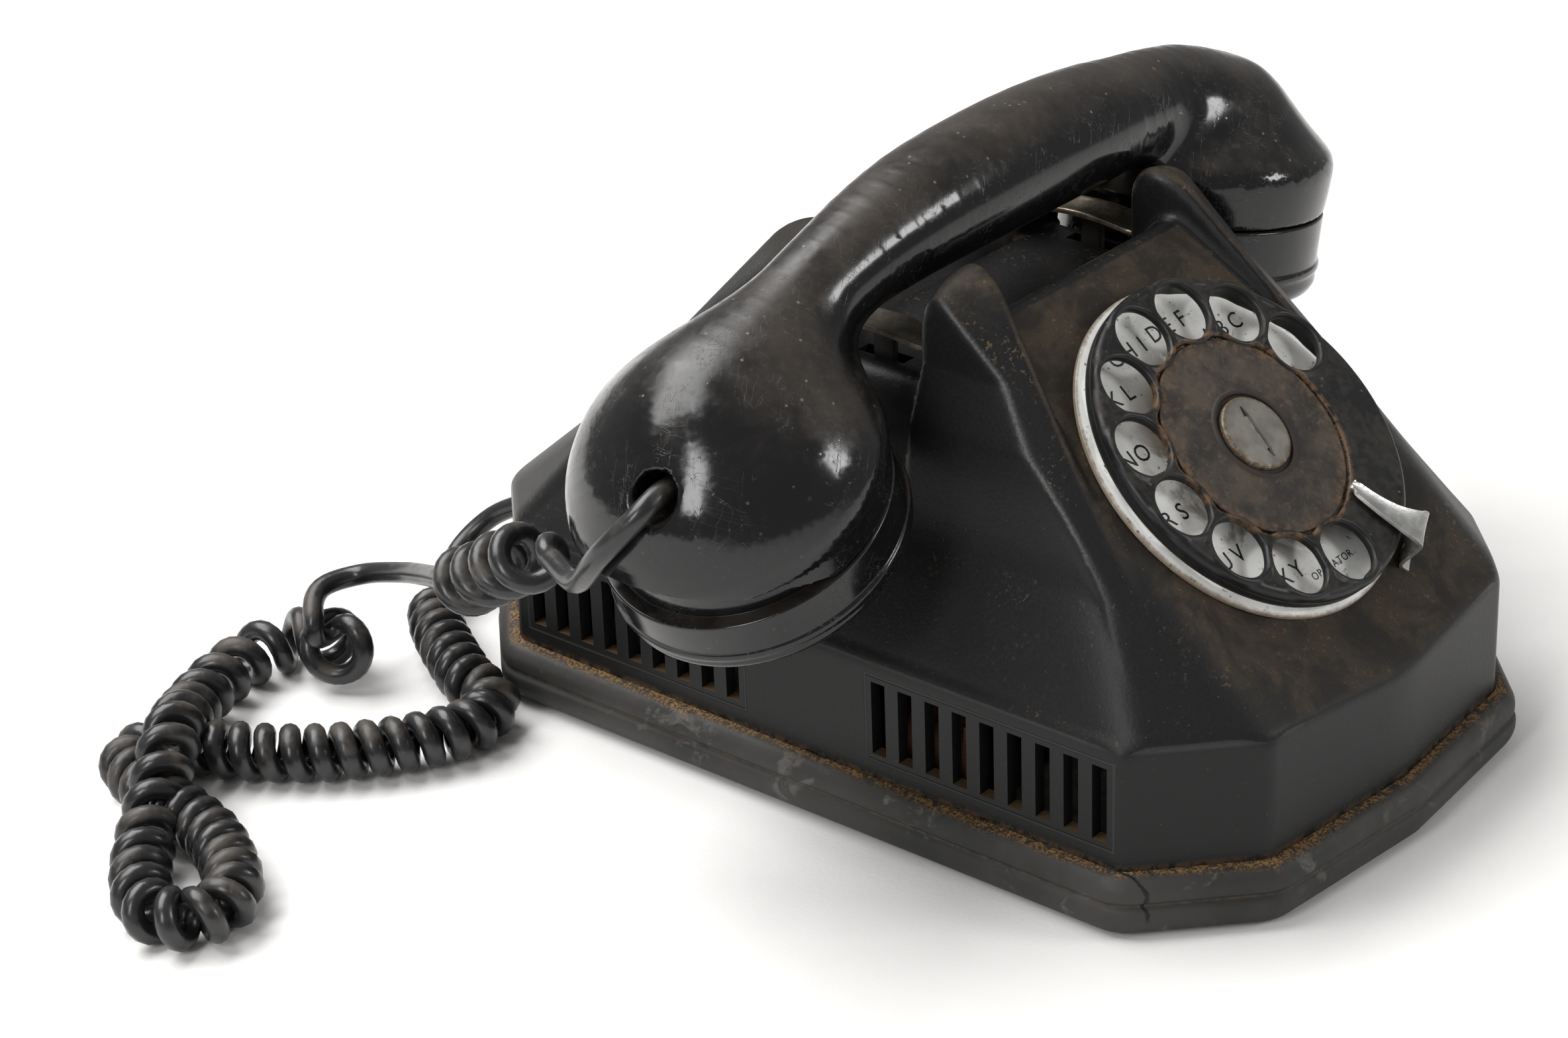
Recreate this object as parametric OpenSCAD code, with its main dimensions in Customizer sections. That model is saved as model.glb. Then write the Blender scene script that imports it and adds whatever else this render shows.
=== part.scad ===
// Corded desk telephone with a rotary dial, a cradled handset and a curly cord.
// Origin: on the desk, under the crossing of the body's two centre planes.
// +X to the phone's right, -Y towards the user, +Z up. Millimetres.

/* [Housing] */
// Half width across the vertical side walls
side_x = 65; // [64:0.5:66]
// Height where the vertical walls end and the slopes begin
wall_top = 42; // [41:0.5:43]
// Thickness of the moulded shell
shell = 3; // [2.5:0.25:3.5]
// Height of the floor of the handset valley
deck_z = 95; // [94:0.5:95.5]
// Number of cooling slots in one group
slot_count = 9; // [7:1:10]
// Width of one cooling slot
slot_w = 3.6; // [3:0.2:3.8]

/* [Skirt] */
// Distance that the rubber skirt stands out from the wall
skirt_out = 5; // [4:0.5:6]
// Height of the rubber skirt
skirt_h = 14; // [12:0.5:15]

/* [Dial] */
// Radius of the finger wheel
wheel_r = 38.1; // [37:0.1:38.5]
// Radius of the circle through the finger holes
hole_ring_r = 30.2; // [29:0.1:30.5]
// Radius of one finger hole
hole_r = 6.6; // [6:0.1:6.8]
// Slope of the dial face against the desk, in degrees
dial_tilt = 41.3; // [41.3:0.1:41.3]
// Teeth on the main gear
gear_teeth = 48; // [48:12:48]
// Teeth on the governor pinion
pinion_teeth = 12; // [12:1:12]

/* [Handset] */
// Tilt of the transmitter end, in degrees
tx_tilt = 27; // [25:0.5:28]
// Tilt of the receiver end, in degrees
rx_tilt = 10; // [9:0.5:11]

/* [Cord] */
// Outer diameter of the plain cord
cord_d = 4.8; // [4.6:0.1:5]
// Outer diameter of the curled cord
curl_d = 13; // [12.8:0.1:13]

/* [Hidden] */
$fn = 48;
eps = 0.01;

// Outline of the walls, front to the bottom
front_y = -105;
back_y = 106;
footprint = [
  [side_x, -80], [side_x, 83], [46, 102], [0, back_y], [-46, 102],
  [-side_x, 83], [-side_x, -80], [-43, -101], [0, front_y], [43, -101]
];
slope = tan(dial_tilt);
side_slope = 2.6;
plate_z = 3;
plate_t = 2;
wall_z = plate_z + plate_t;
boss_at = [[58.5, -68], [-58.5, -68], [58.5, 72], [-58.5, 72]];

// Top of the sloping faces
brow_y = 23.5;
brow_z = 109.8;
ear_z = 118.5;

// Dial
dial_y = -66.8;
dial_z = 81.3;
face_h = -6.9;
first_hole = 23.4;
hole_step = 27.56;
case_r = 37.5;
shaft_r = 4;
gear_module = 0.75;
gear_gap = gear_module * (gear_teeth + pinion_teeth) / 2;
pinion_dir = 215;
stop_dir = -59;

// Handset
tx_at = [-82, 0, 79];
rx_at = [73, 0, 93];
handle_pts = [
  [-89, 0, 101], [-76, 0, 108.5], [-63, 0, 114.5], [-50, 0, 118.5], [-35, 0, 121.3],
  [-18, 0, 122.8], [8, 0, 123.3], [30, 0, 122.6], [45, 0, 121.6], [58, 0, 120.8],
  [68, 0, 118], [76, 0, 112.5]
];
handle_r = [13, 11.5, 10.8, 10.9, 11.9, 13.3, 14, 13.4, 12.3, 11.4, 11, 11.5];

// Hook switch
leaf_x = 36;
leaf_r = 18;
leaf_top = 108.3;
yoke_z = 82;
yoke_t = 4;
post_x = 20;
post_r = 2.5;

// Ringer
gong_x = 26;
gong_y = 62;
gong_r = 21;
coil_x = 12;
ringer_y = 22;

// Cord routes, from the handset to the rear wall
lead_route = [
  [-104, -5, 95], [-112, -5, 94.8], [-118, -4.2, 92], [-121.5, 3, 83], [-117, 13, 72], [-107, 28, 66]
];
short_curl_route = [
  [-106.5, 28.7, 65.8], [-100, 39, 62], [-93, 53, 55], [-88, 66, 47]
];
stretched_route = [
  [-88, 66, 47], [-84, 79, 38], [-79, 94, 31], [-75, 108, 26], [-72, 122, 20],
  [-73, 132, 13], [-77.5, 137.5, 8], [-84, 138.8, 6], [-91.8, 138, 6.6]
];
long_curl_route = [
  [-93, 138, 6.7], [-108, 136, 7], [-126, 130, 12], [-144, 115, 20], [-160, 101, 14], [-172, 89, 7],
  [-182, 77, 7], [-187, 66, 7], [-183, 57, 7], [-173, 56, 7], [-165, 65, 7],
  [-158, 80, 7], [-154, 96, 7], [-152, 110, 7], [-147, 122, 7], [-137, 122, 7], [-131, 110, 7],
  [-121, 94, 7], [-110, 82, 7], [-97, 79, 7], [-87, 85, 7], [-80, 95, 7],
  [-70, 107, 7], [-60, 119, 7], [-48, 125, 8]
];
tail_route = [
  [-46.6, 125.6, 8.2], [-39, 127.5, 12], [-32, 124, 18], [-30, 116, 23], [-30, 111, 24], [-30, 104, 24]
];
inlet_x = 30;
inlet_z = 24;

// ---- Shared shapes ----

// Points of a smooth curve through a list of points
function curve_at(p, t) =
  let (
    n = len(p) - 1,
    i = min(floor(t), n - 1),
    u = t - i,
    a = p[max(i - 1, 0)],
    b = p[i],
    c = p[i + 1],
    d = p[min(i + 2, n)]
  )
  0.5 * (2 * b + (c - a) * u + (2 * a - 5 * b + 4 * c - d) * u * u + (3 * b - a - 3 * c + d) * u * u * u);
function resample(p, count) = [for (k = [0:count]) curve_at(p, k * (len(p) - 1) / count)];
function unit(v) = v / norm(v);
function tangent(p, k) = unit(p[min(k + 1, len(p) - 1)] - p[max(k - 1, 0)]);
function side_of(t) = unit(cross([0, 0, 1], t));

// A closed tube along points; radii holds one radius for each point
module tube(p, radii, sides) {
  rings = len(p);
  verts = [
    for (k = [0:rings - 1])
      let (t = tangent(p, k), s = side_of(t), u = cross(t, s))
      for (j = [0:sides - 1])
        p[k] + radii[k] * (cos(360 * j / sides) * s + sin(360 * j / sides) * u)
  ];
  walls = [
    for (k = [0:rings - 2])
      for (j = [0:sides - 1])
        let (a = k * sides + j, b = k * sides + (j + 1) % sides)
        each [[a, b + sides, b], [a, a + sides, b + sides]]
  ];
  first = [for (j = [0:sides - 1]) j];
  last = [for (j = [sides - 1:-1:0]) (rings - 1) * sides + j];
  polyhedron(verts, concat([first], walls, [last]));
}

module cord_tube(route, d, rings, sides) {
  p = resample(route, rings);
  tube(p, [for (q = p) d / 2], sides);
}

module outline(grow) {
  offset(delta = grow) polygon(footprint);
}

// Corner points of the body below the ears, drawn in by a distance
function body_points(inset) =
  let (
    x = side_x - inset,
    top = brow_z - 1.4 * inset,
    top_x = side_x - (brow_z - wall_top) / side_slope - inset,
    drop = 0.45 * inset
  )
  [
    for (sx = [-1, 1])
      each [
        [sx * x, -80 + 0.4 * inset, wall_top - drop],
        [sx * (43 - 0.4 * inset), -101 + inset, wall_top - drop],
        [sx * x, 83 - 0.4 * inset, wall_top - drop],
        [sx * (46 - 0.4 * inset), 102 - inset, wall_top - drop],
        [sx * x, -80 + 0.4 * inset, wall_z + eps],
        [sx * (43 - 0.4 * inset), -101 + inset, wall_z + eps],
        [sx * x, 83 - 0.4 * inset, wall_z + eps],
        [sx * (46 - 0.4 * inset), 102 - inset, wall_z + eps],
        [sx * top_x, -brow_y, top],
        [sx * top_x, brow_y, top]
      ],
    [0, front_y + inset, wall_top - 3.8 - drop],
    [0, back_y - inset, wall_top - 3.8 - drop],
    [0, front_y + inset, wall_z + eps],
    [0, back_y - inset, wall_z + eps]
  ];

module body_form(inset) {
  hull()
    for (p = body_points(inset))
      translate(p) cube(2 * eps, center = true);
}

// The corner slopes carried up past the body, which bound the four ears
module ear_bounds() {
  top_x = side_x - (ear_z - wall_top) / side_slope;
  hull() {
    translate([-side_x, -80, wall_top - 10]) cube([2 * side_x, 163, 10]);
    for (s = [-1, 1])
      translate([0, s * 143.5, wall_top]) cube(eps, center = true);
    translate([-top_x, -21.5, ear_z - eps]) cube([2 * top_x, 43, eps]);
    translate([-42.3, -15.5, ear_z - eps]) cube([84.6, 31, eps]);
    translate([-eps, -56, ear_z - eps]) cube([2 * eps, 112, eps]);
  }
}

module ear_blanks() {
  for (sx = [-1, 1])
    for (sy = [-1, 1])
      scale([1, sy, 1])
        translate([sx * 34.75 - 7.75, 0, 0])
          rotate([90, 0, 90])
            linear_extrude(15.5)
              polygon([
                [-66, 58], [-14.5, 88], [-14.5, 106], [-16, 114], [-19, 117.5], [-22, 118.4],
                [-26, 118.4], [-66, 84]
              ]);
}

module ears() {
  difference() {
    intersection() {
      ear_blanks();
      ear_bounds();
    }
    // Their inner edges spread apart going down, clear of the dial
    for (sy = [-1, 1])
      scale([1, sy, 1])
        translate([0, 0, 40])
          linear_extrude(90)
            polygon([[-28.3, 14], [-51, 80], [51, 80], [28.3, 14]]);
  }
}

// The hollow in each side that clears the ends of the handset
module side_scoops(grow) {
  for (sx = [-1, 1])
    scale([sx, 1, 1])
      intersection() {
        translate([-grow, 100, -grow / 2])
          rotate([90, 0, 0])
            linear_extrude(200)
              polygon([[90, 44], [64.2, 44], [56, 58], [49, 70], [45, 84], [43, 96], [42.5, 125], [90, 125]]);
        rotate([90, 0, 90])
          linear_extrude(100)
            polygon([
              [-79 - grow, 43], [-64 - grow, 64.4], [-55.7 - grow, 74.5], [-33.3 - grow, 101.2],
              [-22 - grow, 116.7], [-22 - grow, 126], [22 + grow, 126], [22 + grow, 116.7],
              [33.3 + grow, 101.2], [55.7 + grow, 74.5], [64 + grow, 64.4], [79 + grow, 43]
            ]);
      }
}

// Room for the receiver's cap at rest and on its way up
module cap_room(grow) {
  hull()
    for (lift = [0, 60])
      translate([0, 0, lift])
        on_rx() translate([0, 0, -19 - grow]) cylinder(r = 30.9 + grow, h = 20);
}

module valley(grow) {
  translate([-60, 0, 0])
    rotate([90, 0, 90])
      linear_extrude(120)
        polygon([
          [-brow_y - grow, 125], [-brow_y - grow, 110 - grow], [-14 - grow, deck_z - grow],
          [14 + grow, deck_z - grow], [brow_y + grow, 110 - grow], [brow_y + grow, 125]
        ]);
}

module on_dial(h = 0) {
  translate([0, dial_y, dial_z])
    rotate([dial_tilt, 0, 0])
      translate([0, 0, h]) children();
}

module ring(r_out, r_in, h) {
  difference() {
    cylinder(r = r_out, h = h);
    translate([0, 0, -1]) cylinder(r = r_in, h = h + 2);
  }
}

// ---- Housing and base ----

module slot_group(y0) {
  pitch = 56 / (slot_count - 1);
  for (k = [0:slot_count - 1])
    translate([-80, y0 + k * pitch - slot_w / 2, 19.5]) cube([160, slot_w, 17]);
}

module housing() {
  color([0.06, 0.06, 0.06])
    difference() {
      union() {
        difference() {
          union() {
            difference() {
              body_form(0);
              side_scoops(0);
              valley(0);
            }
            ears();
          }
          difference() {
            translate([0, 0, -1]) body_form(shell);
            side_scoops(shell);
            valley(shell);
            cap_room(2);
          }
          cap_room(0);
        }
        for (p = boss_at)
          translate([p[0], p[1], wall_z]) cylinder(r = 5, h = 33);
      }
      for (p = boss_at)
        translate([p[0], p[1], wall_z - 1]) cylinder(r = 1.7, h = 24);
      slot_group(-75.2);
      slot_group(20.6);
      on_dial(-60) cylinder(r = case_r, h = 70);
      on_dial(face_h - 3)
        rotate(stop_dir) translate([42.8, 0, 0]) cylinder(r = 1.1, h = 4);
      for (sx = [-1, 1])
        translate([sx * leaf_x - 1.8, -6, 80]) cube([3.6, 12, 20]);
      for (sx = [-1, 1])
        translate([sx * post_x, 0, 85]) cylinder(r = 1.6, h = 9);
      for (sx = [-1, 1])
        translate([sx * inlet_x, 112, inlet_z]) rotate([90, 0, 0]) cylinder(r = 6, h = 24);
    }
}

module base_plate() {
  color([0.3, 0.29, 0.27])
    translate([0, 0, plate_z])
      difference() {
        linear_extrude(plate_t) outline(-0.3);
        for (p = boss_at)
          translate([p[0], p[1], -1]) cylinder(r = 2.2, h = 5);
      }
}

// Rubber channel around the lower edge; the phone rests on its lip
module base_skirt() {
  color([0.1, 0.1, 0.1])
    difference() {
      union() {
        linear_extrude(1.5) outline(skirt_out - 1.6);
        translate([0, 0, 1.5]) linear_extrude(2) outline(skirt_out - 0.5);
        translate([0, 0, 3.5]) linear_extrude(4) outline(skirt_out);
        translate([0, 0, 7.5]) linear_extrude(1) outline(skirt_out - 1.2);
        translate([0, 0, 8.5]) linear_extrude(3) outline(skirt_out - 0.6);
        translate([0, 0, 11.5]) linear_extrude(skirt_h - 11.5) outline(skirt_out - 2.6);
      }
      translate([0, 0, plate_z]) linear_extrude(20) outline(0.05);
      translate([0, 0, -1]) linear_extrude(20) outline(-2.2);
    }
}

module base_screws() {
  color([0.5, 0.48, 0.42])
    for (p = boss_at)
      translate([p[0], p[1], 0])
        difference() {
          union() {
            translate([0, 0, 1]) cylinder(r = 3.6, h = plate_z - 1);
            translate([0, 0, plate_z - eps]) cylinder(r = 1.65, h = 18);
          }
          translate([-4, -0.4, 0.5]) cube([8, 0.8, 1.3]);
        }
}

// Rubber bush in a hole of the rear wall
module grommet(x, bore_r) {
  color([0.08, 0.08, 0.08])
    translate([x, 108.4, inlet_z])
      rotate([90, 0, 0])
        difference() {
          union() {
            cylinder(r = 7.5, h = 3);
            translate([0, 0, 2]) cylinder(r = 5.95, h = 9);
          }
          translate([0, 0, -1]) cylinder(r = bore_r, h = 14);
        }
}

module line_cord_grommet() {
  grommet(inlet_x, 2.6);
}

module handset_cord_grommet() {
  grommet(-inlet_x, cord_d / 2 + 0.05);
}

// ---- Dial ----

module number_plate() {
  color([0.85, 0.84, 0.78])
    on_dial(face_h) {
      ring(39.2, 9, 1.2);
    }
}

module dial_case() {
  color([0.15, 0.14, 0.13])
    on_dial(face_h - 8)
      difference() {
        union() {
          cylinder(r = case_r - 0.1, h = 2);
          ring(case_r - 0.1, case_r - 1.6, 8);
        }
        translate([0, 0, -1]) cylinder(r = shaft_r + 0.05, h = 4);
      }
}

// Rear plate that carries the gear train
module dial_frame() {
  color([0.45, 0.42, 0.36])
    on_dial(-36)
      difference() {
        cylinder(r = 31, h = 2);
        translate([0, 0, -1]) cylinder(r = shaft_r + 0.05, h = 4);
        rotate(pinion_dir) translate([gear_gap, 0, -1]) cylinder(r = 1.55, h = 4);
      }
}

module dial_pillars() {
  color("silver")
    on_dial(-34)
      for (a = [90, 150, 300])
        rotate(a) translate([27, 0, 0]) cylinder(r = 2.2, h = 26 + face_h);
}

module finger_wheel() {
  color([0.05, 0.05, 0.05])
    on_dial()
      difference() {
        union() {
          translate([0, 0, -1.6]) cylinder(r = wheel_r, h = 1.6);
          translate([0, 0, -3.8]) ring(wheel_r, wheel_r - 1.4, 3.8);
          translate([0, 0, -4.6]) cylinder(r = 8, h = 4);
        }
        for (k = [0:9])
          rotate(first_hole + k * hole_step)
            translate([hole_ring_r, 0, -6]) cylinder(r = hole_r, h = 8);
        translate([0, 0, -6]) cylinder(r = shaft_r, h = 8);
      }
}

module card_disc() {
  color([0.28, 0.2, 0.14])
    on_dial()
      ring(22.8, shaft_r, 0.7);
}

module wheel_hub() {
  color([0.55, 0.53, 0.48])
    on_dial(0.7)
      difference() {
        union() {
          cylinder(r = 8.6, h = 1.1);
          translate([0, 0, 1.1 - eps]) cylinder(r = 7.9, h = 0.6);
        }
        rotate(-50) translate([-6.5, -0.7, 0.9]) cube([13, 1.4, 2]);
      }
}

module dial_shaft() {
  color("silver")
    on_dial(-37)
      cylinder(r = shaft_r, h = 37.7);
}

// Flat gear with narrow straight-sided teeth that run clear of their mate
module gear(teeth, h, bore, phase) {
  pitch_r = gear_module * teeth / 2;
  root_r = pitch_r - 1.2 * gear_module;
  tip_r = pitch_r + 0.75 * gear_module;
  half = 0.17 * PI * gear_module;
  difference() {
    linear_extrude(h)
      union() {
        circle(r = root_r + eps);
        for (k = [0:teeth - 1])
          rotate(phase + 360 * k / teeth)
            polygon([
              [root_r - 0.3, -half * 1.5], [tip_r, -half * 0.7],
              [tip_r, half * 0.7], [root_r - 0.3, half * 1.5]
            ]);
      }
    translate([0, 0, -1]) cylinder(r = bore, h = h + 2);
  }
}

module main_gear() {
  color([0.6, 0.5, 0.25])
    on_dial(-20)
      gear(gear_teeth, 1.6, shaft_r, pinion_dir);
}

// Flat coiled spring around the shaft
module mainspring() {
  turns = 3;
  steps = 72;
  thick = 0.5;
  r_of = function (a) 6 + 6 * a / (360 * turns);
  outer = [for (k = [0:steps]) let (a = 360 * turns * k / steps) (r_of(a) + thick) * [cos(a), sin(a)]];
  inner = [for (k = [steps:-1:0]) let (a = 360 * turns * k / steps) r_of(a) * [cos(a), sin(a)]];
  color([0.3, 0.3, 0.32])
    on_dial(-31)
      linear_extrude(6) polygon(concat(outer, inner));
}

module at_pinion(h) {
  on_dial(h)
    rotate(pinion_dir) translate([gear_gap, 0, 0]) children();
}

module governor_pinion() {
  color([0.6, 0.5, 0.25]) {
    at_pinion(-20)
      gear(pinion_teeth, 1.6, 1.5, 180 + 180 / pinion_teeth);
    at_pinion(-36.5)
      cylinder(r = 1.5, h = 19);
  }
}

module governor_weights() {
  color([0.5, 0.45, 0.3])
    at_pinion(-29)
      difference() {
        union() {
          cylinder(r = 3, h = 3);
          translate([-5.5, -1.5, 0]) cube([11, 3, 3]);
        }
        translate([0, 0, -1]) cylinder(r = 1.5, h = 5);
      }
}

module governor_cup() {
  color([0.45, 0.42, 0.36])
    at_pinion(-34)
      difference() {
        cylinder(r = 8, h = 9);
        translate([0, 0, 1.5]) cylinder(r = 6.8, h = 9);
        translate([0, 0, -1]) cylinder(r = 1.55, h = 4);
      }
}

module pulse_contacts() {
  color([0.65, 0.55, 0.3])
    on_dial(-34)
      rotate(20)
        translate([22, -5, 0]) {
          cube([6, 10, 9]);
          for (k = [0:2])
            translate([1 + 1.8 * k, -7, 2.5]) cube([0.5, 20, 4]);
        }
}

// Hooked metal stop that reaches over the finger holes
module finger_stop() {
  color([0.7, 0.69, 0.66])
    on_dial()
      rotate(stop_dir)
        difference() {
          union() {
            translate([0, 0, 1.1])
              linear_extrude(1.1)
                polygon([[23.6, -1.6], [30, -2], [36, -3.2], [41.2, -4.8], [41.2, 4.8], [36, 2.6], [30, 1.6], [23.6, 1.4]]);
            translate([40, -4.8, face_h]) cube([1.2, 9.6, 1.1 - face_h + eps]);
            translate([40, -4.8, face_h]) cube([4.5, 9.6, 1]);
          }
          translate([42.8, 0, face_h - 1]) cylinder(r = 1.1, h = 3);
        }
}

module finger_stop_screw() {
  color("silver")
    on_dial(face_h)
      rotate(stop_dir)
        translate([42.8, 0, -2.4]) {
          cylinder(r = 1.05, h = 3.5);
          translate([0, 0, 3.4]) cylinder(r = 1.6, h = 0.8);
        }
}

// ---- Hook switch ----

module hook_lever() {
  color([0.5, 0.42, 0.3])
    difference() {
      union() {
        for (sx = [-1, 1])
          translate([sx * leaf_x, 0, 0]) {
            translate([0, 0, leaf_top - leaf_r])
              rotate([0, 90, 0])
                intersection() {
                  difference() {
                    cylinder(r = leaf_r, h = 8, center = true);
                    cylinder(r = leaf_r - 1.2, h = 9, center = true);
                  }
                  translate([-leaf_r - 1, -14, -5]) cube([leaf_r - 10, 28, 10]);
                }
            translate([-1.3, -4.5, yoke_z]) cube([2.6, 9, leaf_top - yoke_z - 0.9]);
          }
        translate([-leaf_x - 1.2, -4, yoke_z]) cube([2 * leaf_x + 2.4, 8, yoke_t]);
      }
      for (sx = [-1, 1])
        translate([sx * post_x, 0, yoke_z - 1]) cylinder(r = post_r + 0.05, h = 8);
    }
}

module hook_posts() {
  color("silver")
    for (sx = [-1, 1])
      translate([sx * post_x, 0, 0]) {
        translate([0, 0, 68]) cylinder(r = 5, h = 2);
        translate([0, 0, 70 - eps]) cylinder(r = post_r, h = deck_z - shell - 70 + eps);
        translate([0, 0, deck_z - shell - eps]) cylinder(r = 1.55, h = 2);
      }
}

module hook_springs() {
  color([0.6, 0.6, 0.62])
    for (sx = [-1, 1])
      translate([sx * post_x, 0, 70]) ring(4.2, 3, yoke_z - 70);
}

module hook_contacts() {
  color([0.65, 0.55, 0.3]) {
    translate([-5, 10, 76]) cube([10, 8, deck_z - shell - 76]);
    for (k = [0:2])
      translate([-2.5, -2, 77 + 1.4 * k]) cube([5, 13, 0.5]);
  }
}

// ---- Ringer ----

module ringer_base() {
  color([0.45, 0.42, 0.36])
    translate([-24, ringer_y - 8, wall_z]) cube([48, 16, 2.5]);
}

module ringer_coils() {
  color([0.45, 0.2, 0.1])
    for (sx = [-1, 1])
      translate([sx * coil_x, ringer_y, wall_z + 2.5]) {
        ring(9, 3, 1.5);
        translate([0, 0, 1.5 - eps]) ring(7.8, 3, 24);
        translate([0, 0, 25.5 - 2 * eps]) ring(9, 3, 1.5);
      }
}

module ringer_cores() {
  color([0.5, 0.5, 0.5])
    for (sx = [-1, 1])
      translate([sx * coil_x, ringer_y, wall_z + 2.5]) cylinder(r = 3, h = 29);
}

module gong_posts() {
  color("silver")
    for (sx = [-1, 1])
      translate([sx * gong_x, gong_y, wall_z]) {
        cylinder(r = 3.5, h = 18);
        translate([0, 0, 18 - eps]) cylinder(r = 2, h = 4);
      }
}

module gong(x) {
  color([0.65, 0.6, 0.45])
    translate([x, gong_y, wall_z + 18])
      rotate_extrude()
        polygon([
          [2.1, 0], [8, 0], [15, -2], [19.4, -7], [20, -12], [gong_r, -12],
          [20.6, -6.5], [16, -0.6], [8.5, 1.4], [2.1, 1.4]
        ]);
}

module left_gong() {
  gong(-gong_x);
}

module right_gong() {
  gong(gong_x);
}

module gong_screws() {
  color([0.55, 0.53, 0.48])
    for (sx = [-1, 1])
      translate([sx * gong_x, gong_y, wall_z + 19.4])
        difference() {
          cylinder(r = 4, h = 4.2);
          translate([0, 0, -1]) cylinder(r = 2, h = 3.6);
          translate([-5, -0.4, 3.4]) cube([10, 0.8, 1]);
        }
}

// Armature, rod and ball that swing between the gongs
module clapper() {
  color([0.55, 0.55, 0.5])
    difference() {
      union() {
        translate([-16, ringer_y - 4, 38]) cube([32, 8, 2]);
        translate([-1, ringer_y, 38]) cube([2, 26, 1.5]);
        translate([-1, ringer_y + 24.5, 16]) cube([2, 1.5, 23.5]);
        translate([-1, ringer_y + 24.5, 15]) cube([2, 12, 1.5]);
        translate([0, gong_y, 15.8]) sphere(r = 3.5);
      }
      translate([0, ringer_y, 37]) cylinder(r = 1.55, h = 5);
    }
}

module clapper_pin() {
  color("silver") {
    translate([0, ringer_y, wall_z + 2.5]) cylinder(r = 2.2, h = 29.8);
    translate([0, ringer_y, 37]) cylinder(r = 1.5, h = 6);
  }
}

// ---- Electrical parts ----

module induction_coil() {
  color([0.4, 0.25, 0.12])
    translate([-44, -35, wall_z]) {
      translate([-9, 0, 0]) cube([18, 3, 20]);
      translate([-9, 45, 0]) cube([18, 3, 20]);
      translate([0, 1, 10]) rotate([-90, 0, 0]) cylinder(r = 8, h = 46);
    }
}

module condenser() {
  color([0.6, 0.6, 0.58])
    translate([34, -35, wall_z]) cube([20, 48, 22]);
}

module terminal_block() {
  color([0.2, 0.12, 0.06])
    translate([-22, -30, wall_z])
      difference() {
        cube([44, 16, 8]);
        for (k = [0:3])
          translate([5.5 + 11 * k, 8, 2]) cylinder(r = 1.6, h = 8);
      }
}

module terminal_screws() {
  color([0.7, 0.62, 0.35])
    for (k = [0:3])
      translate([-16.5 + 11 * k, -22, wall_z + 2]) {
        cylinder(r = 1.55, h = 6);
        translate([0, 0, 6]) cylinder(r = 3, h = 2);
      }
}

// ---- Handset ----

module on_tx() {
  translate(tx_at) rotate([0, -tx_tilt, 0]) children();
}

module on_rx() {
  translate(rx_at) rotate([0, rx_tilt, 0]) children();
}

// Bakelite handle with its two bells, in one piece
module handset_handle() {
  count = 33;
  pts = resample(handle_pts, count);
  radii = [for (q = resample([for (r = handle_r) [r, 0, 0]], count)) q[0]];
  color([0.03, 0.03, 0.03])
    difference() {
      union() {
        tube(pts, radii, 24);
        on_tx()
          rotate_extrude()
            polygon([
              [0, 0], [31.5, 0], [33, 5], [33.5, 11], [31.5, 18], [27, 25], [20, 32], [11, 37.5], [0, 40]
            ]);
        on_rx()
          rotate_extrude()
            polygon([
              [0, 0], [30, 0], [31, 6], [31, 12], [24, 19], [17, 27], [12, 30.5], [0, 31.5]
            ]);
      }
      on_tx()
        rotate_extrude()
          polygon([[0, -1], [28.5, -1], [28.5, 12], [20, 21], [0, 25]]);
      on_rx()
        rotate_extrude()
          polygon([[0, -1], [27, -1], [27, 11], [15, 21], [0, 24]]);
      translate([-98, -5, 94.7]) rotate([0, -90, 0]) cylinder(r = 4.8, h = 40);
    }
}

// Screwed cap with sound holes
module cap(r, neck_r, h, face_holes) {
  difference() {
    union() {
      translate([0, 0, -h])
        rotate_extrude()
          polygon([
            [0, 0.6], [r - 8, 0.6], [r - 5, 0], [r - 1.5, 0.6], [r - 0.4, 2.2], [r + 0.2, h - 5],
            [r - 0.4, h - 0.1], [0, h - 0.1]
          ]);
      translate([0, 0, -0.2]) cylinder(r = neck_r, h = 6);
    }
    translate([0, 0, -h + 3]) cylinder(r = neck_r - 1.6, h = h + 6);
    for (ring_no = [0:2])
      for (k = [0:max(0, 6 * ring_no - 1)])
        rotate(ring_no == 0 ? 0 : 60 * k / ring_no)
          translate([5 * ring_no, 0, -h - 1]) cylinder(r = face_holes, h = 6);
  }
}

module transmitter_cap() {
  color([0.04, 0.04, 0.04])
    on_tx() cap(32, 28.4, 14, 1.3);
}

module receiver_cap() {
  color([0.04, 0.04, 0.04])
    on_rx() cap(30, 26.9, 18, 1.3);
}

module capsule(r) {
  rotate_extrude()
    polygon([[0, 0], [r, 0], [r, 6], [r - 3, 9], [0, 9]]);
}

module transmitter_capsule() {
  color([0.6, 0.6, 0.58])
    on_tx() translate([0, 0, -4]) capsule(26);
}

module receiver_capsule() {
  color([0.6, 0.6, 0.58])
    on_rx() translate([0, 0, -4]) capsule(24.6);
}

// ---- Handset cord ----

module handset_cord_lead() {
  color([0.04, 0.04, 0.04]) cord_tube(lead_route, cord_d, 10, 8);
}

module handset_cord_short_curl() {
  color([0.04, 0.04, 0.04]) cord_tube(short_curl_route, curl_d, 4, 10);
}

module handset_cord_stretched() {
  color([0.04, 0.04, 0.04]) cord_tube(stretched_route, cord_d, 16, 8);
}

module handset_cord_long_curl() {
  color([0.04, 0.04, 0.04]) cord_tube(long_curl_route, curl_d, 34, 10);
}

module handset_cord_tail() {
  color([0.04, 0.04, 0.04]) cord_tube(tail_route, cord_d, 8, 8);
}

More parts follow.
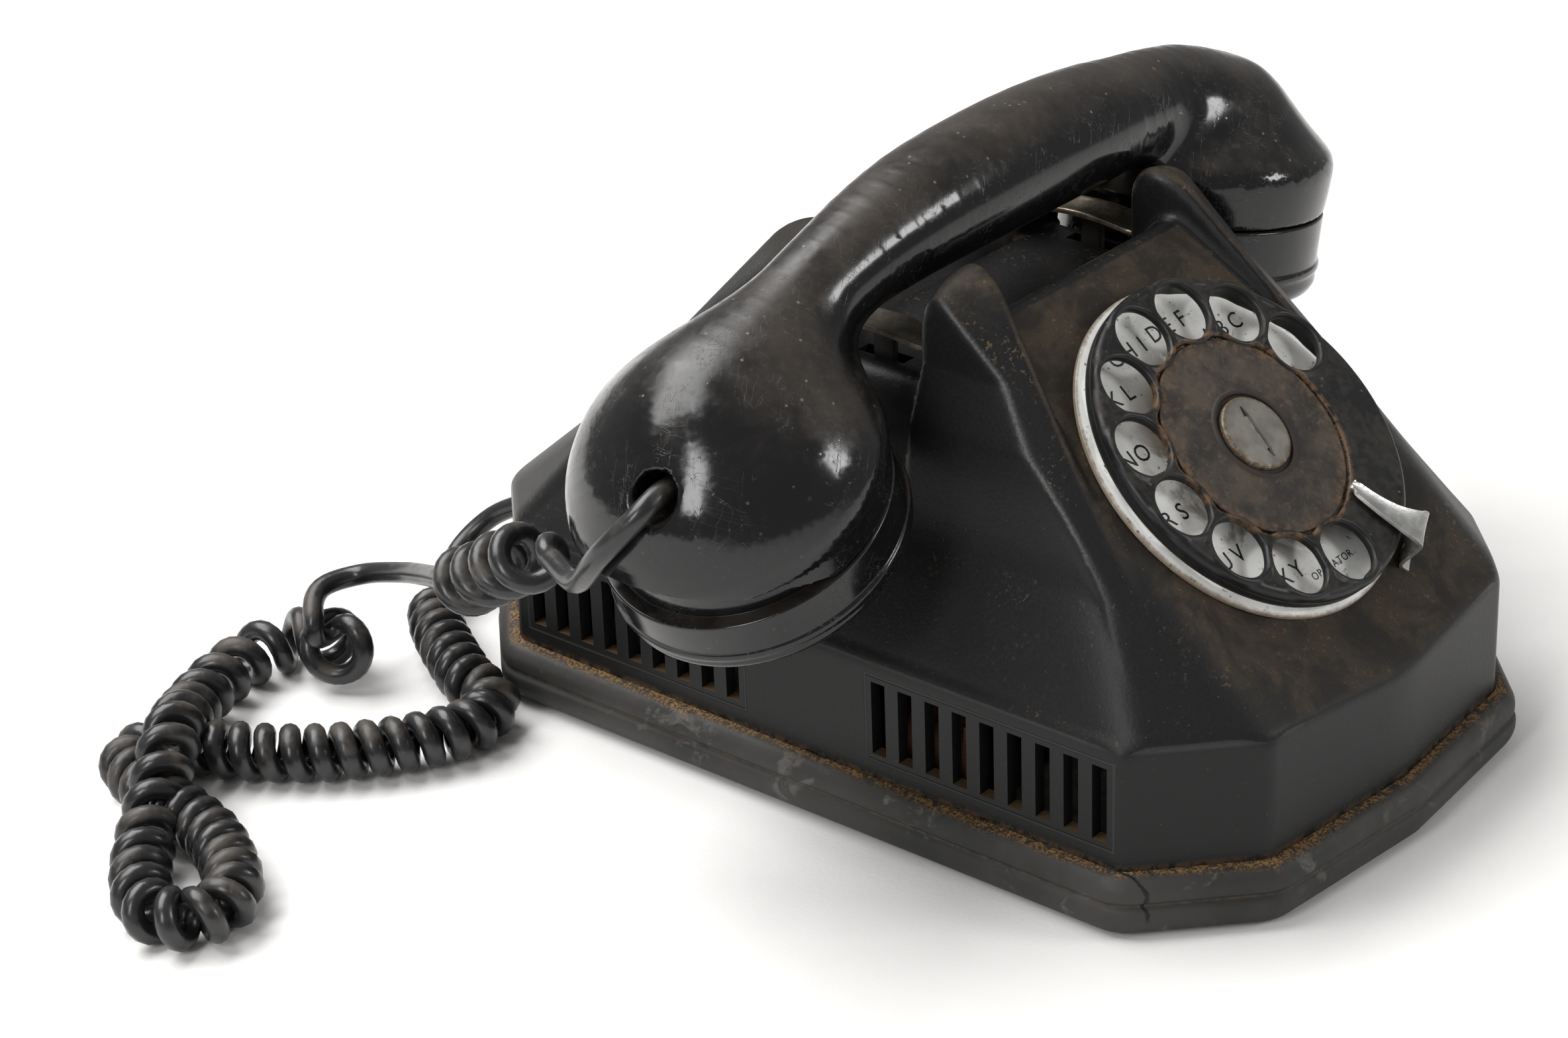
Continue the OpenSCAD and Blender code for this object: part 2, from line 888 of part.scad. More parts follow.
housing();
base_plate();
base_skirt();
base_screws();
line_cord_grommet();
handset_cord_grommet();
number_plate();
dial_case();
dial_frame();
dial_pillars();
finger_wheel();
card_disc();
wheel_hub();
dial_shaft();
main_gear();
mainspring();
governor_pinion();
governor_weights();
governor_cup();
pulse_contacts();
finger_stop();
finger_stop_screw();
hook_lever();
hook_posts();
hook_springs();
hook_contacts();
ringer_base();
ringer_coils();
ringer_cores();
gong_posts();
left_gong();
right_gong();
gong_screws();
clapper();
clapper_pin();
induction_coil();
condenser();
terminal_block();
terminal_screws();
handset_handle();
transmitter_cap();
receiver_cap();
transmitter_capsule();
receiver_capsule();
handset_cord_lead();
handset_cord_short_curl();
handset_cord_stretched();
handset_cord_long_curl();
handset_cord_tail();
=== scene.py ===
import math
import bpy
import numpy as np
from mathutils import Matrix, Vector


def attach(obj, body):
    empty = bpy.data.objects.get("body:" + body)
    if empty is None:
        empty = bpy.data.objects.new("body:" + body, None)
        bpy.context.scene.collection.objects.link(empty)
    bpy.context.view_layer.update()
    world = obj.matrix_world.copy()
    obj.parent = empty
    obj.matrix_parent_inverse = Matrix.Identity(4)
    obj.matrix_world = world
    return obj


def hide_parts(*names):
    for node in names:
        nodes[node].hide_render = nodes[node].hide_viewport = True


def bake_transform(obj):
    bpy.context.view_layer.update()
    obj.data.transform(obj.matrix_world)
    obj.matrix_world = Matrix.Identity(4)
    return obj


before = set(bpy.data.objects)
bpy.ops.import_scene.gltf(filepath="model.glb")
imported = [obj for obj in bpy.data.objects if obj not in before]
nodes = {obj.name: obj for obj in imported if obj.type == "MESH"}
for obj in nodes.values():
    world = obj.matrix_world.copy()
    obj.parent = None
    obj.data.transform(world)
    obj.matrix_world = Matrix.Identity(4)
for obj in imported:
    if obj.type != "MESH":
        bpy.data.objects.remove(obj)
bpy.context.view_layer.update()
scene = bpy.context.scene
scene.view_settings.view_transform = "Standard"
mm = 0.001
print("frame loaded:", len(nodes), "nodes")


# camera

cameraSet = {
    "place": (-622.3, -479.9, 442.0),
    "turn": -49.01,
    "rise": 26.905,
    "roll": -2.231,
    "lens": 92.87,
    "sensor": 36.0,
}


def addCamera(s):
    turn, rise, roll = (math.radians(s[k]) for k in ("turn", "rise", "roll"))
    back = Vector((math.sin(turn) * math.cos(rise), -math.cos(turn) * math.cos(rise), math.sin(rise)))
    right = (-back).cross(Vector((0, 0, 1))).normalized()
    up = right.cross(-back)
    tiltedRight = math.cos(roll) * right + math.sin(roll) * up
    tiltedUp = -math.sin(roll) * right + math.cos(roll) * up
    data = bpy.data.cameras.new("studioCamera")
    data.lens, data.sensor_width, data.sensor_fit = s["lens"], s["sensor"], "HORIZONTAL"
    data.clip_start, data.clip_end = 0.02, 30
    cam = bpy.data.objects.new("studioCamera", data)
    scene.collection.objects.link(cam)
    m = Matrix((tiltedRight, tiltedUp, back)).transposed().to_4x4()
    m.translation = Vector(s["place"]) * mm
    cam.matrix_world = m
    scene.camera = cam


addCamera(cameraSet)


# shader arithmetic

class Wire:
    # one socket of a material, with the operators that add Math nodes to it
    def __init__(self, paint, socket):
        self.paint = paint
        self.socket = socket

    def calc(self, operation, *others):
        return self.paint.node("ShaderNodeMath", {"operation": operation}, dict(enumerate((self,) + others)))

    def __add__(self, other): return self.calc("ADD", other)
    def __sub__(self, other): return self.calc("SUBTRACT", other)
    def __mul__(self, other): return self.calc("MULTIPLY", other)
    def __truediv__(self, other): return self.calc("DIVIDE", other)
    def __pow__(self, other): return self.calc("POWER", other)
    def __neg__(self): return self.calc("MULTIPLY", -1.0)
    def __radd__(self, other): return self.paint.wire(other).calc("ADD", self)
    def __rsub__(self, other): return self.paint.wire(other).calc("SUBTRACT", self)
    def __rmul__(self, other): return self.paint.wire(other).calc("MULTIPLY", self)
    def __rtruediv__(self, other): return self.paint.wire(other).calc("DIVIDE", self)

    def atMost(self, other): return self.calc("MINIMUM", other)
    def atLeast(self, other): return self.calc("MAXIMUM", other)
    def size(self): return self.calc("ABSOLUTE")

    def step(self, low, high):
        # 0 below low, 1 above high, smooth between them
        return self.paint.node(
            "ShaderNodeMapRange",
            {"interpolation_type": "SMOOTHSTEP"},
            {"Value": self, "From Min": low, "From Max": high, "To Min": 0.0, "To Max": 1.0},
        )


class Paint:
    # one material under construction
    def __init__(self, name, rough=0.5, metal=0.0, coat=0.0, specular=0.5):
        self.material = bpy.data.materials.new(name)
        self.material.use_nodes = True
        self.tree = self.material.node_tree
        self.tree.nodes.clear()
        self.shader = self.tree.nodes.new("ShaderNodeBsdfPrincipled")
        out = self.tree.nodes.new("ShaderNodeOutputMaterial")
        self.tree.links.new(self.shader.outputs[0], out.inputs[0])
        self.shader.inputs["Roughness"].default_value = rough
        self.shader.inputs["Metallic"].default_value = metal
        self.shader.inputs["Coat Weight"].default_value = coat
        self.shader.inputs["Specular IOR Level"].default_value = specular
        self.spot = self.node("ShaderNodeTexCoord", out="Object")
        self.normal = self.node("ShaderNodeNewGeometry", out="Normal")

    def wire(self, value):
        if isinstance(value, Wire):
            return value
        return self.node("ShaderNodeMath", {"operation": "ADD"}, {0: value, 1: 0.0})

    def node(self, kind, settings=None, sockets=None, out=0):
        made = self.tree.nodes.new(kind)
        for key, value in (settings or {}).items():
            if key == "stops":
                for k, (at, colour) in enumerate(value):
                    stop = made.color_ramp.elements[k] if k < 2 else made.color_ramp.elements.new(at)
                    stop.position, stop.color = at, (*colour, 1.0)
            else:
                setattr(made, key, value)
        for key, value in (sockets or {}).items():
            target = made.inputs[key]
            if isinstance(value, Wire):
                self.tree.links.new(value.socket, target)
            elif target.type == "RGBA" and len(value) == 3:
                target.default_value = (*value, 1.0)
            else:
                target.default_value = value
        return Wire(self, made.outputs[out])

    def axes(self, vector):
        split = self.tree.nodes.new("ShaderNodeSeparateXYZ")
        self.tree.links.new(vector.socket, split.inputs[0])
        return [Wire(self, split.outputs[k]) for k in range(3)]

    def moved(self, place=(0, 0, 0), turn=(0, 0, 0), scale=(1, 1, 1), vector=None):
        return self.node(
            "ShaderNodeMapping",
            {"vector_type": "TEXTURE"},
            {"Vector": vector or self.spot, "Location": place, "Rotation": turn, "Scale": scale},
        )

    def cloud(self, perMetre, detail=3.0, rough=0.55, warp=0.0, vector=None):
        return self.node(
            "ShaderNodeTexNoise",
            {},
            {
                "Vector": vector or self.spot, "Scale": perMetre, "Detail": detail,
                "Roughness": rough, "Distortion": warp,
            },
        )

    def distance(self, place, vector=None):
        return self.node(
            "ShaderNodeVectorMath",
            {"operation": "DISTANCE"},
            {0: vector or self.spot, 1: place},
            "Value",
        )

    def blend(self, mask, low, high):
        # colour low where mask is 0, high where it is 1
        return self.node(
            "ShaderNodeMix",
            {"data_type": "RGBA", "clamp_factor": True},
            {0: mask, 6: low, 7: high},
            2,
        )

    def dots(self, perMetre, share, size):
        # scattered round specks: a share of the cells holds one
        cell = self.tree.nodes.new("ShaderNodeTexVoronoi")
        cell.inputs["Scale"].default_value = perMetre
        self.tree.links.new(self.spot.socket, cell.inputs["Vector"])
        near = Wire(self, cell.outputs["Distance"])
        pick = self.axes(Wire(self, cell.outputs["Color"]))[0]
        return (1.0 - near.step(size * 0.5, size)) * pick.step(1.0 - share - 0.02, 1.0 - share + 0.02)

    def scratches(self, perMetre, stretch, turn, thin):
        # long thin marks in one direction
        line = self.cloud(perMetre, 2.0, 0.5, 0.3, self.moved(turn=turn, scale=(1.0, stretch, 1.0)))
        return 1.0 - (line - 0.5).size().step(0.0, thin)

    def calcRings(self, away, perMetre=2600.0):
        # turned marks round a centre
        wave = (away * (perMetre * 2 * math.pi)).calc("SINE") * 0.5 + 0.5
        return wave * self.cloud(300.0, 3.0).step(0.4, 0.65)

    def relief(self, height, depth, strength=1.0, under=None):
        sockets = {"Height": height, "Distance": depth, "Strength": strength}
        if under:
            sockets["Normal"] = under
        return self.node("ShaderNodeBump", {}, sockets)

    def wear(self, **sockets):
        # puts what changes over the surface on the shader
        names = {
            "colour": "Base Color", "rough": "Roughness", "metal": "Metallic",
            "coat": "Coat Weight", "bump": "Normal",
        }
        for key, value in sockets.items():
            target = self.shader.inputs[names[key]]
            if isinstance(value, Wire):
                self.tree.links.new(value.socket, target)
            else:
                target.default_value = (*value, 1.0) if key == "colour" else value
        return self.material


# meshes

def meshPiece(name, points, faces, smooth=True, material=None):
    # points in millimetres, in place
    mesh = bpy.data.meshes.new(name)
    metres = np.asarray(points, float) * mm
    mesh.from_pydata(metres.tolist(), [], faces if isinstance(faces, list) else faces.tolist())
    mesh.validate()
    mesh.polygons.foreach_set("use_smooth", [smooth] * len(mesh.polygons))
    piece = bpy.data.objects.new(name, mesh)
    scene.collection.objects.link(piece)
    if material:
        mesh.materials.append(material)
    return piece


def settle(piece):
    # applies the piece's modifiers
    bpy.context.view_layer.update()
    graph = bpy.context.evaluated_depsgraph_get()
    finished = bpy.data.meshes.new_from_object(piece.evaluated_get(graph), depsgraph=graph)
    piece.modifiers.clear()
    old = piece.data
    piece.data = finished
    bpy.data.meshes.remove(old)
    return piece


def discard(piece):
    bpy.data.objects.remove(piece, do_unlink=True)


def modifier(piece, kind, **settings):
    made = piece.modifiers.new(kind.title(), kind)
    for key, value in settings.items():
        setattr(made, key, value)
    return made


def joined(name, parts, material=None):
    # several pieces in one mesh
    points, faces, base = [], [], 0
    for part in parts:
        mesh = part.data
        points += [tuple(v.co / mm) for v in mesh.vertices]
        faces += [[base + k for k in p.vertices] for p in mesh.polygons]
        base += len(mesh.vertices)
        discard(part)
    return meshPiece(name, points, faces, True, material)


def smoothCurve(points, perSpan):
    # smooth line through points, perSpan steps between neighbours
    p = np.asarray(points, float)
    p = np.vstack([2 * p[0] - p[1], p, 2 * p[-1] - p[-2]])
    u = np.linspace(0, 1, perSpan, endpoint=False)[:, None]
    line = []
    for k in range(1, len(p) - 2):
        a, b, c, d = p[k - 1:k + 3]
        squared, cubed = 2 * a - 5 * b + 4 * c - d, 3 * b - a - 3 * c + d
        line.append(0.5 * (2 * b + (c - a) * u + squared * u**2 + cubed * u**3))
    return np.vstack(line + [p[-2:-1]])


def evenly(points, step):
    # the same line with points a step apart
    p = np.asarray(points, float)
    along = np.r_[0, np.cumsum(np.linalg.norm(np.diff(p[:, :3], axis=0), axis=1))]
    count = max(2, int(round(along[-1] / step)) + 1)
    at = np.linspace(0, along[-1], count)
    return np.stack([np.interp(at, along, p[:, k]) for k in range(p.shape[1])], 1)


def frames(line):
    # unit tangents and two normals that don't twist along the line
    tangent = np.gradient(line, axis=0)
    tangent /= np.linalg.norm(tangent, axis=1)[:, None]
    first = np.cross(tangent[0], (0.0, 0.0, 1.0))
    if np.linalg.norm(first) < 0.1:
        first = np.cross(tangent[0], (0.0, 1.0, 0.0))
    side = [first / np.linalg.norm(first)]
    for t in tangent[1:]:
        s = side[-1] - t * np.dot(side[-1], t)
        side.append(s / np.linalg.norm(s))
    side = np.array(side)
    return tangent, side, np.cross(tangent, side)


def tubePiece(name, line, radii, sides=12, material=None, ends=True):
    line = np.asarray(line, float)
    radii = np.broadcast_to(np.asarray(radii, float), (len(line),))
    tangent, side, up = frames(line)
    turn = np.arange(sides) * 2 * math.pi / sides
    ring = np.cos(turn)[None, :, None] * side[:, None] + np.sin(turn)[None, :, None] * up[:, None]
    points = (line[:, None] + radii[:, None, None] * ring).reshape(-1, 3)
    faces = []
    for k in range(len(line) - 1):
        for j in range(sides):
            a, b = k * sides + j, k * sides + (j + 1) % sides
            faces.append([a, b, b + sides, a + sides])
    if ends:
        faces.append(list(range(sides))[::-1])
        faces.append([(len(line) - 1) * sides + j for j in range(sides)])
    return meshPiece(name, points, faces, True, material)


def lathe(name, profile, place=None, segments=96, material=None, closed=True):
    # turns (radius, height) points round the axis of place; ccw points give a wall that faces outwards
    profile = np.asarray(profile, float)
    turn = np.arange(segments) * 2 * math.pi / segments
    points, rows = [], []
    for r, h in profile:
        if r < 1e-6:
            rows.append([len(points)] * segments)
            points.append((0, 0, h))
        else:
            rows.append(list(range(len(points), len(points) + segments)))
            points += [(r * math.cos(t), r * math.sin(t), h) for t in turn]
    faces = []
    count = len(profile)
    for k in range(count if closed else count - 1):
        low, high = rows[k], rows[(k + 1) % count]
        for j in range(segments):
            n = (j + 1) % segments
            face = list(dict.fromkeys([low[j], low[n], high[n], high[j]]))
            if len(face) > 2:
                faces.append(face)
    points = np.array(points)
    if place is not None:
        points = placed(points, place)
    return meshPiece(name, points, faces, True, material)


def placed(points, place):
    m = np.array(place)
    return np.asarray(points, float) @ m[:3, :3].T + m[:3, 3]


def roundedProfile(corners, radius, steps=4):
    # a closed outline with its corners rounded; a corner may give its own radius as a third number
    flat = [tuple(c[:2]) for c in corners]
    outline = []
    for k, corner in enumerate(corners):
        here = np.array(corner[:2], float)
        r = corner[2] if len(corner) > 2 else radius
        before, after = np.array(flat[k - 1], float), np.array(flat[(k + 1) % len(flat)], float)
        a, b = before - here, after - here
        la, lb = np.linalg.norm(a), np.linalg.norm(b)
        if r <= 0 or la < 1e-9 or lb < 1e-9:
            outline.append(here)
            continue
        cut = min(r, 0.45 * la, 0.45 * lb)
        p, q = here + a / la * cut, here + b / lb * cut
        for j in range(steps + 1):
            u = j / steps
            outline.append((1 - u)**2 * p + 2 * u * (1 - u) * here + u * u * q)
    return np.array(outline)


# moulded forms: distance fields in millimetres, negative inside

def softMax(a, b, width):
    near = np.maximum(width - np.abs(a - b), 0) / width
    return np.maximum(a, b) + near * near * width * 0.25


def softMin(a, b, width):
    return -softMax(-a, -b, width)


def planeThrough(a, b, c, inside=(0, 0, 45)):
    # unit normal pointing away from inside, and its offset
    a, b, c, inside = (np.asarray(v, float) for v in (a, b, c, inside))
    n = np.cross(b - a, c - a)
    n /= np.linalg.norm(n)
    if n @ (inside - a) > 0:
        n = -n
    return n, n @ a


def allInside(p, planes, width):
    # the rounded solid that every plane bounds
    result = None
    for n, offset in planes:
        d = p @ n - offset
        result = d if result is None else softMax(result, d, width)
    return result


def outlineField(outline, u, v):
    # signed distance to a closed outline in a plane
    best = np.full(len(u), 1e9)
    sign = np.ones(len(u))
    outline = np.asarray(outline, float)
    for a, b in zip(outline, np.roll(outline, -1, axis=0)):
        e = b - a
        wu, wv = u - a[0], v - a[1]
        t = np.clip((wu * e[0] + wv * e[1]) / max(e @ e, 1e-12), 0, 1)
        best = np.minimum(best, (wu - t * e[0])**2 + (wv - t * e[1])**2)
        above, below = v >= a[1], v < b[1]
        leftOf = e[0] * wv > e[1] * wu
        flip = (above & below & leftOf) | (~above & ~below & ~leftOf)
        sign[flip] *= -1
    return sign * np.sqrt(best)


def tiltAbout(place, degrees):
    # a bell's own frame: its centre, its side and its axis; the tilt is about Y
    t = math.radians(degrees)
    across, axis = (math.cos(t), 0, -math.sin(t)), (math.sin(t), 0, math.cos(t))
    return np.array(place, float), np.array(across), np.array(axis)


def turnedField(p, bell, outline):
    centre, across, axis = bell
    w = p - centre
    h = w @ axis
    r = np.sqrt(np.maximum((w * w).sum(1) - h * h, 0))
    return outlineField(outline, r, h)


def slope(field, p, step=0.04):
    g = np.empty_like(p)
    for k in range(3):
        e = np.zeros(3)
        e[k] = step
        g[:, k] = (field(p + e) - field(p - e)) / (2 * step)
    return g


def pullOn(field, p, times=3):
    for _ in range(times):
        g = slope(field, p)
        p = p - (field(p) / np.maximum((g * g).sum(1), 0.2))[:, None] * g
    return p


def mouldedForm(name, field, low, high, step, material=None, relax=2):
    # a net of squares over the field's zero surface, then pulled onto it
    axes = [np.arange(l, h + step, step) for l, h in zip(low, high)]
    sizes = [len(a) for a in axes]
    value = np.empty(sizes, np.float32)
    for k, x in enumerate(axes[0]):
        y, z = np.meshgrid(axes[1], axes[2], indexing="ij")
        layer = np.stack([np.full(y.size, x), y.ravel(), z.ravel()], 1)
        value[k] = field(layer).reshape(y.shape)
    inside = value < 0
    corner = [
        inside[i:sizes[0] - 1 + i, j:sizes[1] - 1 + j, k:sizes[2] - 1 + k]
        for i in (0, 1) for j in (0, 1) for k in (0, 1)
    ]
    mixed = np.logical_or.reduce(corner) & ~np.logical_and.reduce(corner)
    number = np.full(mixed.shape, -1)
    cell = np.argwhere(mixed)
    number[mixed] = np.arange(len(cell))
    points = np.asarray(low) + (cell + 0.5) * step
    faces = []
    for a in range(3):
        b, c = (a + 1) % 3, (a + 2) % 3
        ahead = [slice(None)] * 3
        ahead[a] = slice(1, None)
        here = [slice(None)] * 3
        here[a] = slice(0, -1)
        change = inside[tuple(here)] != inside[tuple(ahead)]
        at = np.argwhere(change)
        at = at[(at[:, b] > 0) & (at[:, c] > 0) & (at[:, b] < sizes[b] - 1) & (at[:, c] < sizes[c] - 1)]
        outward = inside[tuple(at.T)]
        shiftB, shiftC = np.zeros(3, int), np.zeros(3, int)
        shiftB[b], shiftC[c] = 1, 1
        around = ((1, 1), (0, 1), (0, 0), (1, 0))
        quad = np.stack([number[tuple((at - m * shiftB - n * shiftC).T)] for m, n in around], 1)
        quad[~outward] = quad[~outward][:, ::-1]
        faces.append(quad)
    faces = np.vstack(faces)
    faces = faces[(faces >= 0).all(1)]
    points = pullOn(field, points)
    links = np.vstack([faces[:, [0, 1]], faces[:, [1, 2]], faces[:, [2, 3]], faces[:, [3, 0]]])
    for _ in range(relax):
        total = np.zeros_like(points)
        for k in range(3):
            total[:, k] = np.bincount(links[:, 0], points[links[:, 1], k], len(points))
        count = np.maximum(np.bincount(links[:, 0], minlength=len(points)), 1)
        points = pullOn(field, 0.5 * points + 0.5 * total / count[:, None], 2)
    return meshPiece(name, points, faces, True, material)


def exactNormals(piece, field):
    # shades the piece by the field it was made on
    points = np.array([v.co for v in piece.data.vertices]) / mm
    n = slope(field, points)
    n /= np.maximum(np.linalg.norm(n, axis=1), 1e-6)[:, None]
    piece.data.normals_split_custom_set_from_vertices(n.tolist())


def cutAway(piece, cutter, solver="EXACT"):
    modifier(piece, "BOOLEAN", operation="DIFFERENCE", object=cutter, solver=solver)
    settle(piece)
    discard(cutter)
    return piece


print("tools ready")


# studio

studioSet = {
    "floorSize": 9.0,
    "floorColour": (0.86, 0.85, 0.835),
    "worldColour": (1.0, 0.99, 0.975),
    "worldStrength": 0.3,
    # name: place, aim, width, height, watts
    "lamps": {
        "keyPanel": ((-0.3, 0.9, 1.5), (-0.05, 0.1, 0.0), 1.8, 1.2, 46),
        "leftPanel": ((-1.45, -0.15, 0.9), (-0.05, 0, 0.07), 0.35, 0.7, 8),
        "frontPanel": ((0.7, -1.3, 0.8), (0, 0, 0.06), 0.45, 0.35, 6),
    },
}


def addStudio(s):
    world = bpy.data.worlds.new("softRoom")
    world.use_nodes = True
    sky = world.node_tree.nodes["Background"]
    sky.inputs["Color"].default_value = (*s["worldColour"], 1)
    sky.inputs["Strength"].default_value = s["worldStrength"]
    scene.world = world
    for name, (place, aim, width, height, watts) in s["lamps"].items():
        lamp = bpy.data.lights.new(name, "AREA")
        lamp.shape, lamp.size, lamp.size_y, lamp.energy = "RECTANGLE", width, height, watts
        holder = bpy.data.objects.new(name, lamp)
        holder.location = place
        holder.rotation_euler = (Vector(aim) - Vector(place)).to_track_quat("-Z", "Y").to_euler()
        scene.collection.objects.link(holder)
    paint = Paint("paperFloor", rough=0.75, specular=0.2)
    tone = paint.cloud(3.0, 3.0) * 0.5 + paint.cloud(40.0, 2.0) * 0.5
    crumb = paint.dots(16.0, 0.035, 0.035)
    grit = paint.cloud(900.0, 1.0)
    paper = paint.blend(tone.step(0.3, 0.75), s["floorColour"], tuple(c * 1.06 for c in s["floorColour"]))
    paint.wear(
        colour=paint.blend(crumb, paper, (0.33, 0.26, 0.2)),
        bump=paint.relief(grit, 0.0002, 0.25),
    )
    half = s["floorSize"] * 500
    corners = [(-half, -half, 0), (half, -half, 0), (half, half, 0), (-half, half, 0)]
    floor = meshPiece("floor", corners, [[0, 1, 2, 3]], False, paint.material)


addStudio(studioSet)
print("studio ready")


# curly cord

cordSet = {
    "wire": 4.8,
    "coilWidth": 13.0,
    "pitch": 5.6,
    "perTurn": 16,
    "sides": 12,
    "ease": 7.0,
    # one route from the transmitter to the rear wall; 1 after a point means that the cord is curled there
    "route": [
        (-104, -5, 95, 0), (-112, -5, 94.8, 0), (-118, -4.2, 92, 0), (-121.5, 3, 83, 0),
        (-117, 14, 72, 0), (-110, 28, 70, 0.3), (-106, 39, 65, 1), (-101, 52, 56.5, 1),
        (-96, 65, 47.5, 1), (-89, 80, 40, 0), (-81, 95, 33, 0), (-76, 108, 27.5, 0),
        (-76, 121, 23, 0), (-85, 125, 22, 0), (-92, 120.5, 19, 0), (-91.2, 116, 12.8, 1),
        (-86.5, 120.2, 9.6, 1), (-84, 129, 7.8, 1), (-93, 136, 6.8, 1), (-108, 134, 7, 1),
        (-124, 127, 8.5, 1), (-142, 113, 14, 1), (-158, 101, 10, 1), (-170, 92, 7, 1),
        (-179.5, 82, 7, 1), (-184.5, 73.5, 7, 1), (-181.5, 65, 7, 1), (-172, 64, 7, 1),
        (-164, 72, 7, 1), (-157, 85, 7, 1), (-154, 98, 7, 1), (-152, 110, 7, 1),
        (-147, 122, 7, 1), (-137, 122, 7, 1), (-131, 110, 7, 1), (-121, 94, 7, 1),
        (-107, 81, 7, 1), (-92, 74, 7, 1), (-81, 77.5, 7, 1), (-78, 87, 7.5, 1),
        (-71, 100, 8, 1), (-62.5, 112.5, 8, 1), (-51, 122, 8.5, 0), (-39, 127.5, 12, 0),
        (-32, 124, 18, 0), (-30, 116, 23, 0), (-30, 111, 24, 0), (-30, 104, 24, 0),
    ],
    # from this point of the route on: width over the coil, pitch
    "coils": [
        (0, 15.6, 12.0), (10, 15.6, 12.0), (14, 18.0, 12.0), (16, 17.0, 11.0),
        (18, 14.0, 9.0), (22, 13.6, 8.2), (25, 13.4, 6.4), (28, 13.2, 5.6),
    ],
    "bendStart": (0.0, 0.0, 0.028),
    "bendEnd": (0.0, 0.0, 0.090),
}


def cordPaint():
    paint = Paint("cordRubber", rough=0.3, coat=0.1)
    dust = paint.cloud(90.0, 4.0, 0.6) + paint.axes(paint.normal)[2] * 0.14
    worn = paint.cloud(700.0, 3.0)
    dusty = dust.step(0.56, 0.78)
    specks = paint.dots(700.0, 0.12, 0.3)
    paint.wear(
        colour=paint.blend(dusty * 0.75 + specks * 0.3, (0.012, 0.012, 0.013), (0.07, 0.058, 0.046)),
        rough=0.24 + dusty * 0.3 + worn * 0.12,
        bump=paint.relief(worn, 0.00012, 0.4),
    )
    return paint.material


def makeCord(s):
    route = np.array(s["route"], float)
    base = smoothCurve(route[:, :3], 12)
    along = np.linspace(0, len(route) - 1, len(base))
    curled = np.interp(along, np.arange(len(route)), route[:, 3])
    starts, widths, pitches = np.array(s["coils"]).T
    coil = [np.interp(along, starts, values) for values in (widths, pitches)]
    line = evenly(np.column_stack([base, curled, *coil]), s["pitch"] / s["perTurn"])
    step = np.linalg.norm(np.diff(line[:, :3], axis=0), axis=1).mean()
    window = max(3, int(s["ease"] / step))
    curled = np.pad(line[:, 3] > 0.5, window, mode="edge")
    curl = np.convolve(curled, np.ones(window) / window, "same")[window:-window]
    tangent, side, up = frames(line[:, :3])
    angle = np.cumsum(curl / line[:, 5]) * step * 2 * math.pi
    reach = (line[:, 4] - s["wire"]) / 2 * curl
    wire = line[:, :3] + reach[:, None] * (np.cos(angle)[:, None] * side + np.sin(angle)[:, None] * up)
    wire[:, 2] = np.maximum(wire[:, 2], s["wire"] / 2)
    wire = evenly(wire, 2 * math.pi * (s["coilWidth"] - s["wire"]) / 2 / s["perTurn"])
    piece = tubePiece("curlyCord", wire, s["wire"] / 2, s["sides"], cordPaint())
    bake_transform(piece)
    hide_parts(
        "handset_cord_lead", "handset_cord_short_curl", "handset_cord_stretched",
        "handset_cord_long_curl", "handset_cord_tail",
    )
    tuple(wire[0] * mm)
    (wire * mm).tolist()


makeCord(cordSet)


# repeated parts

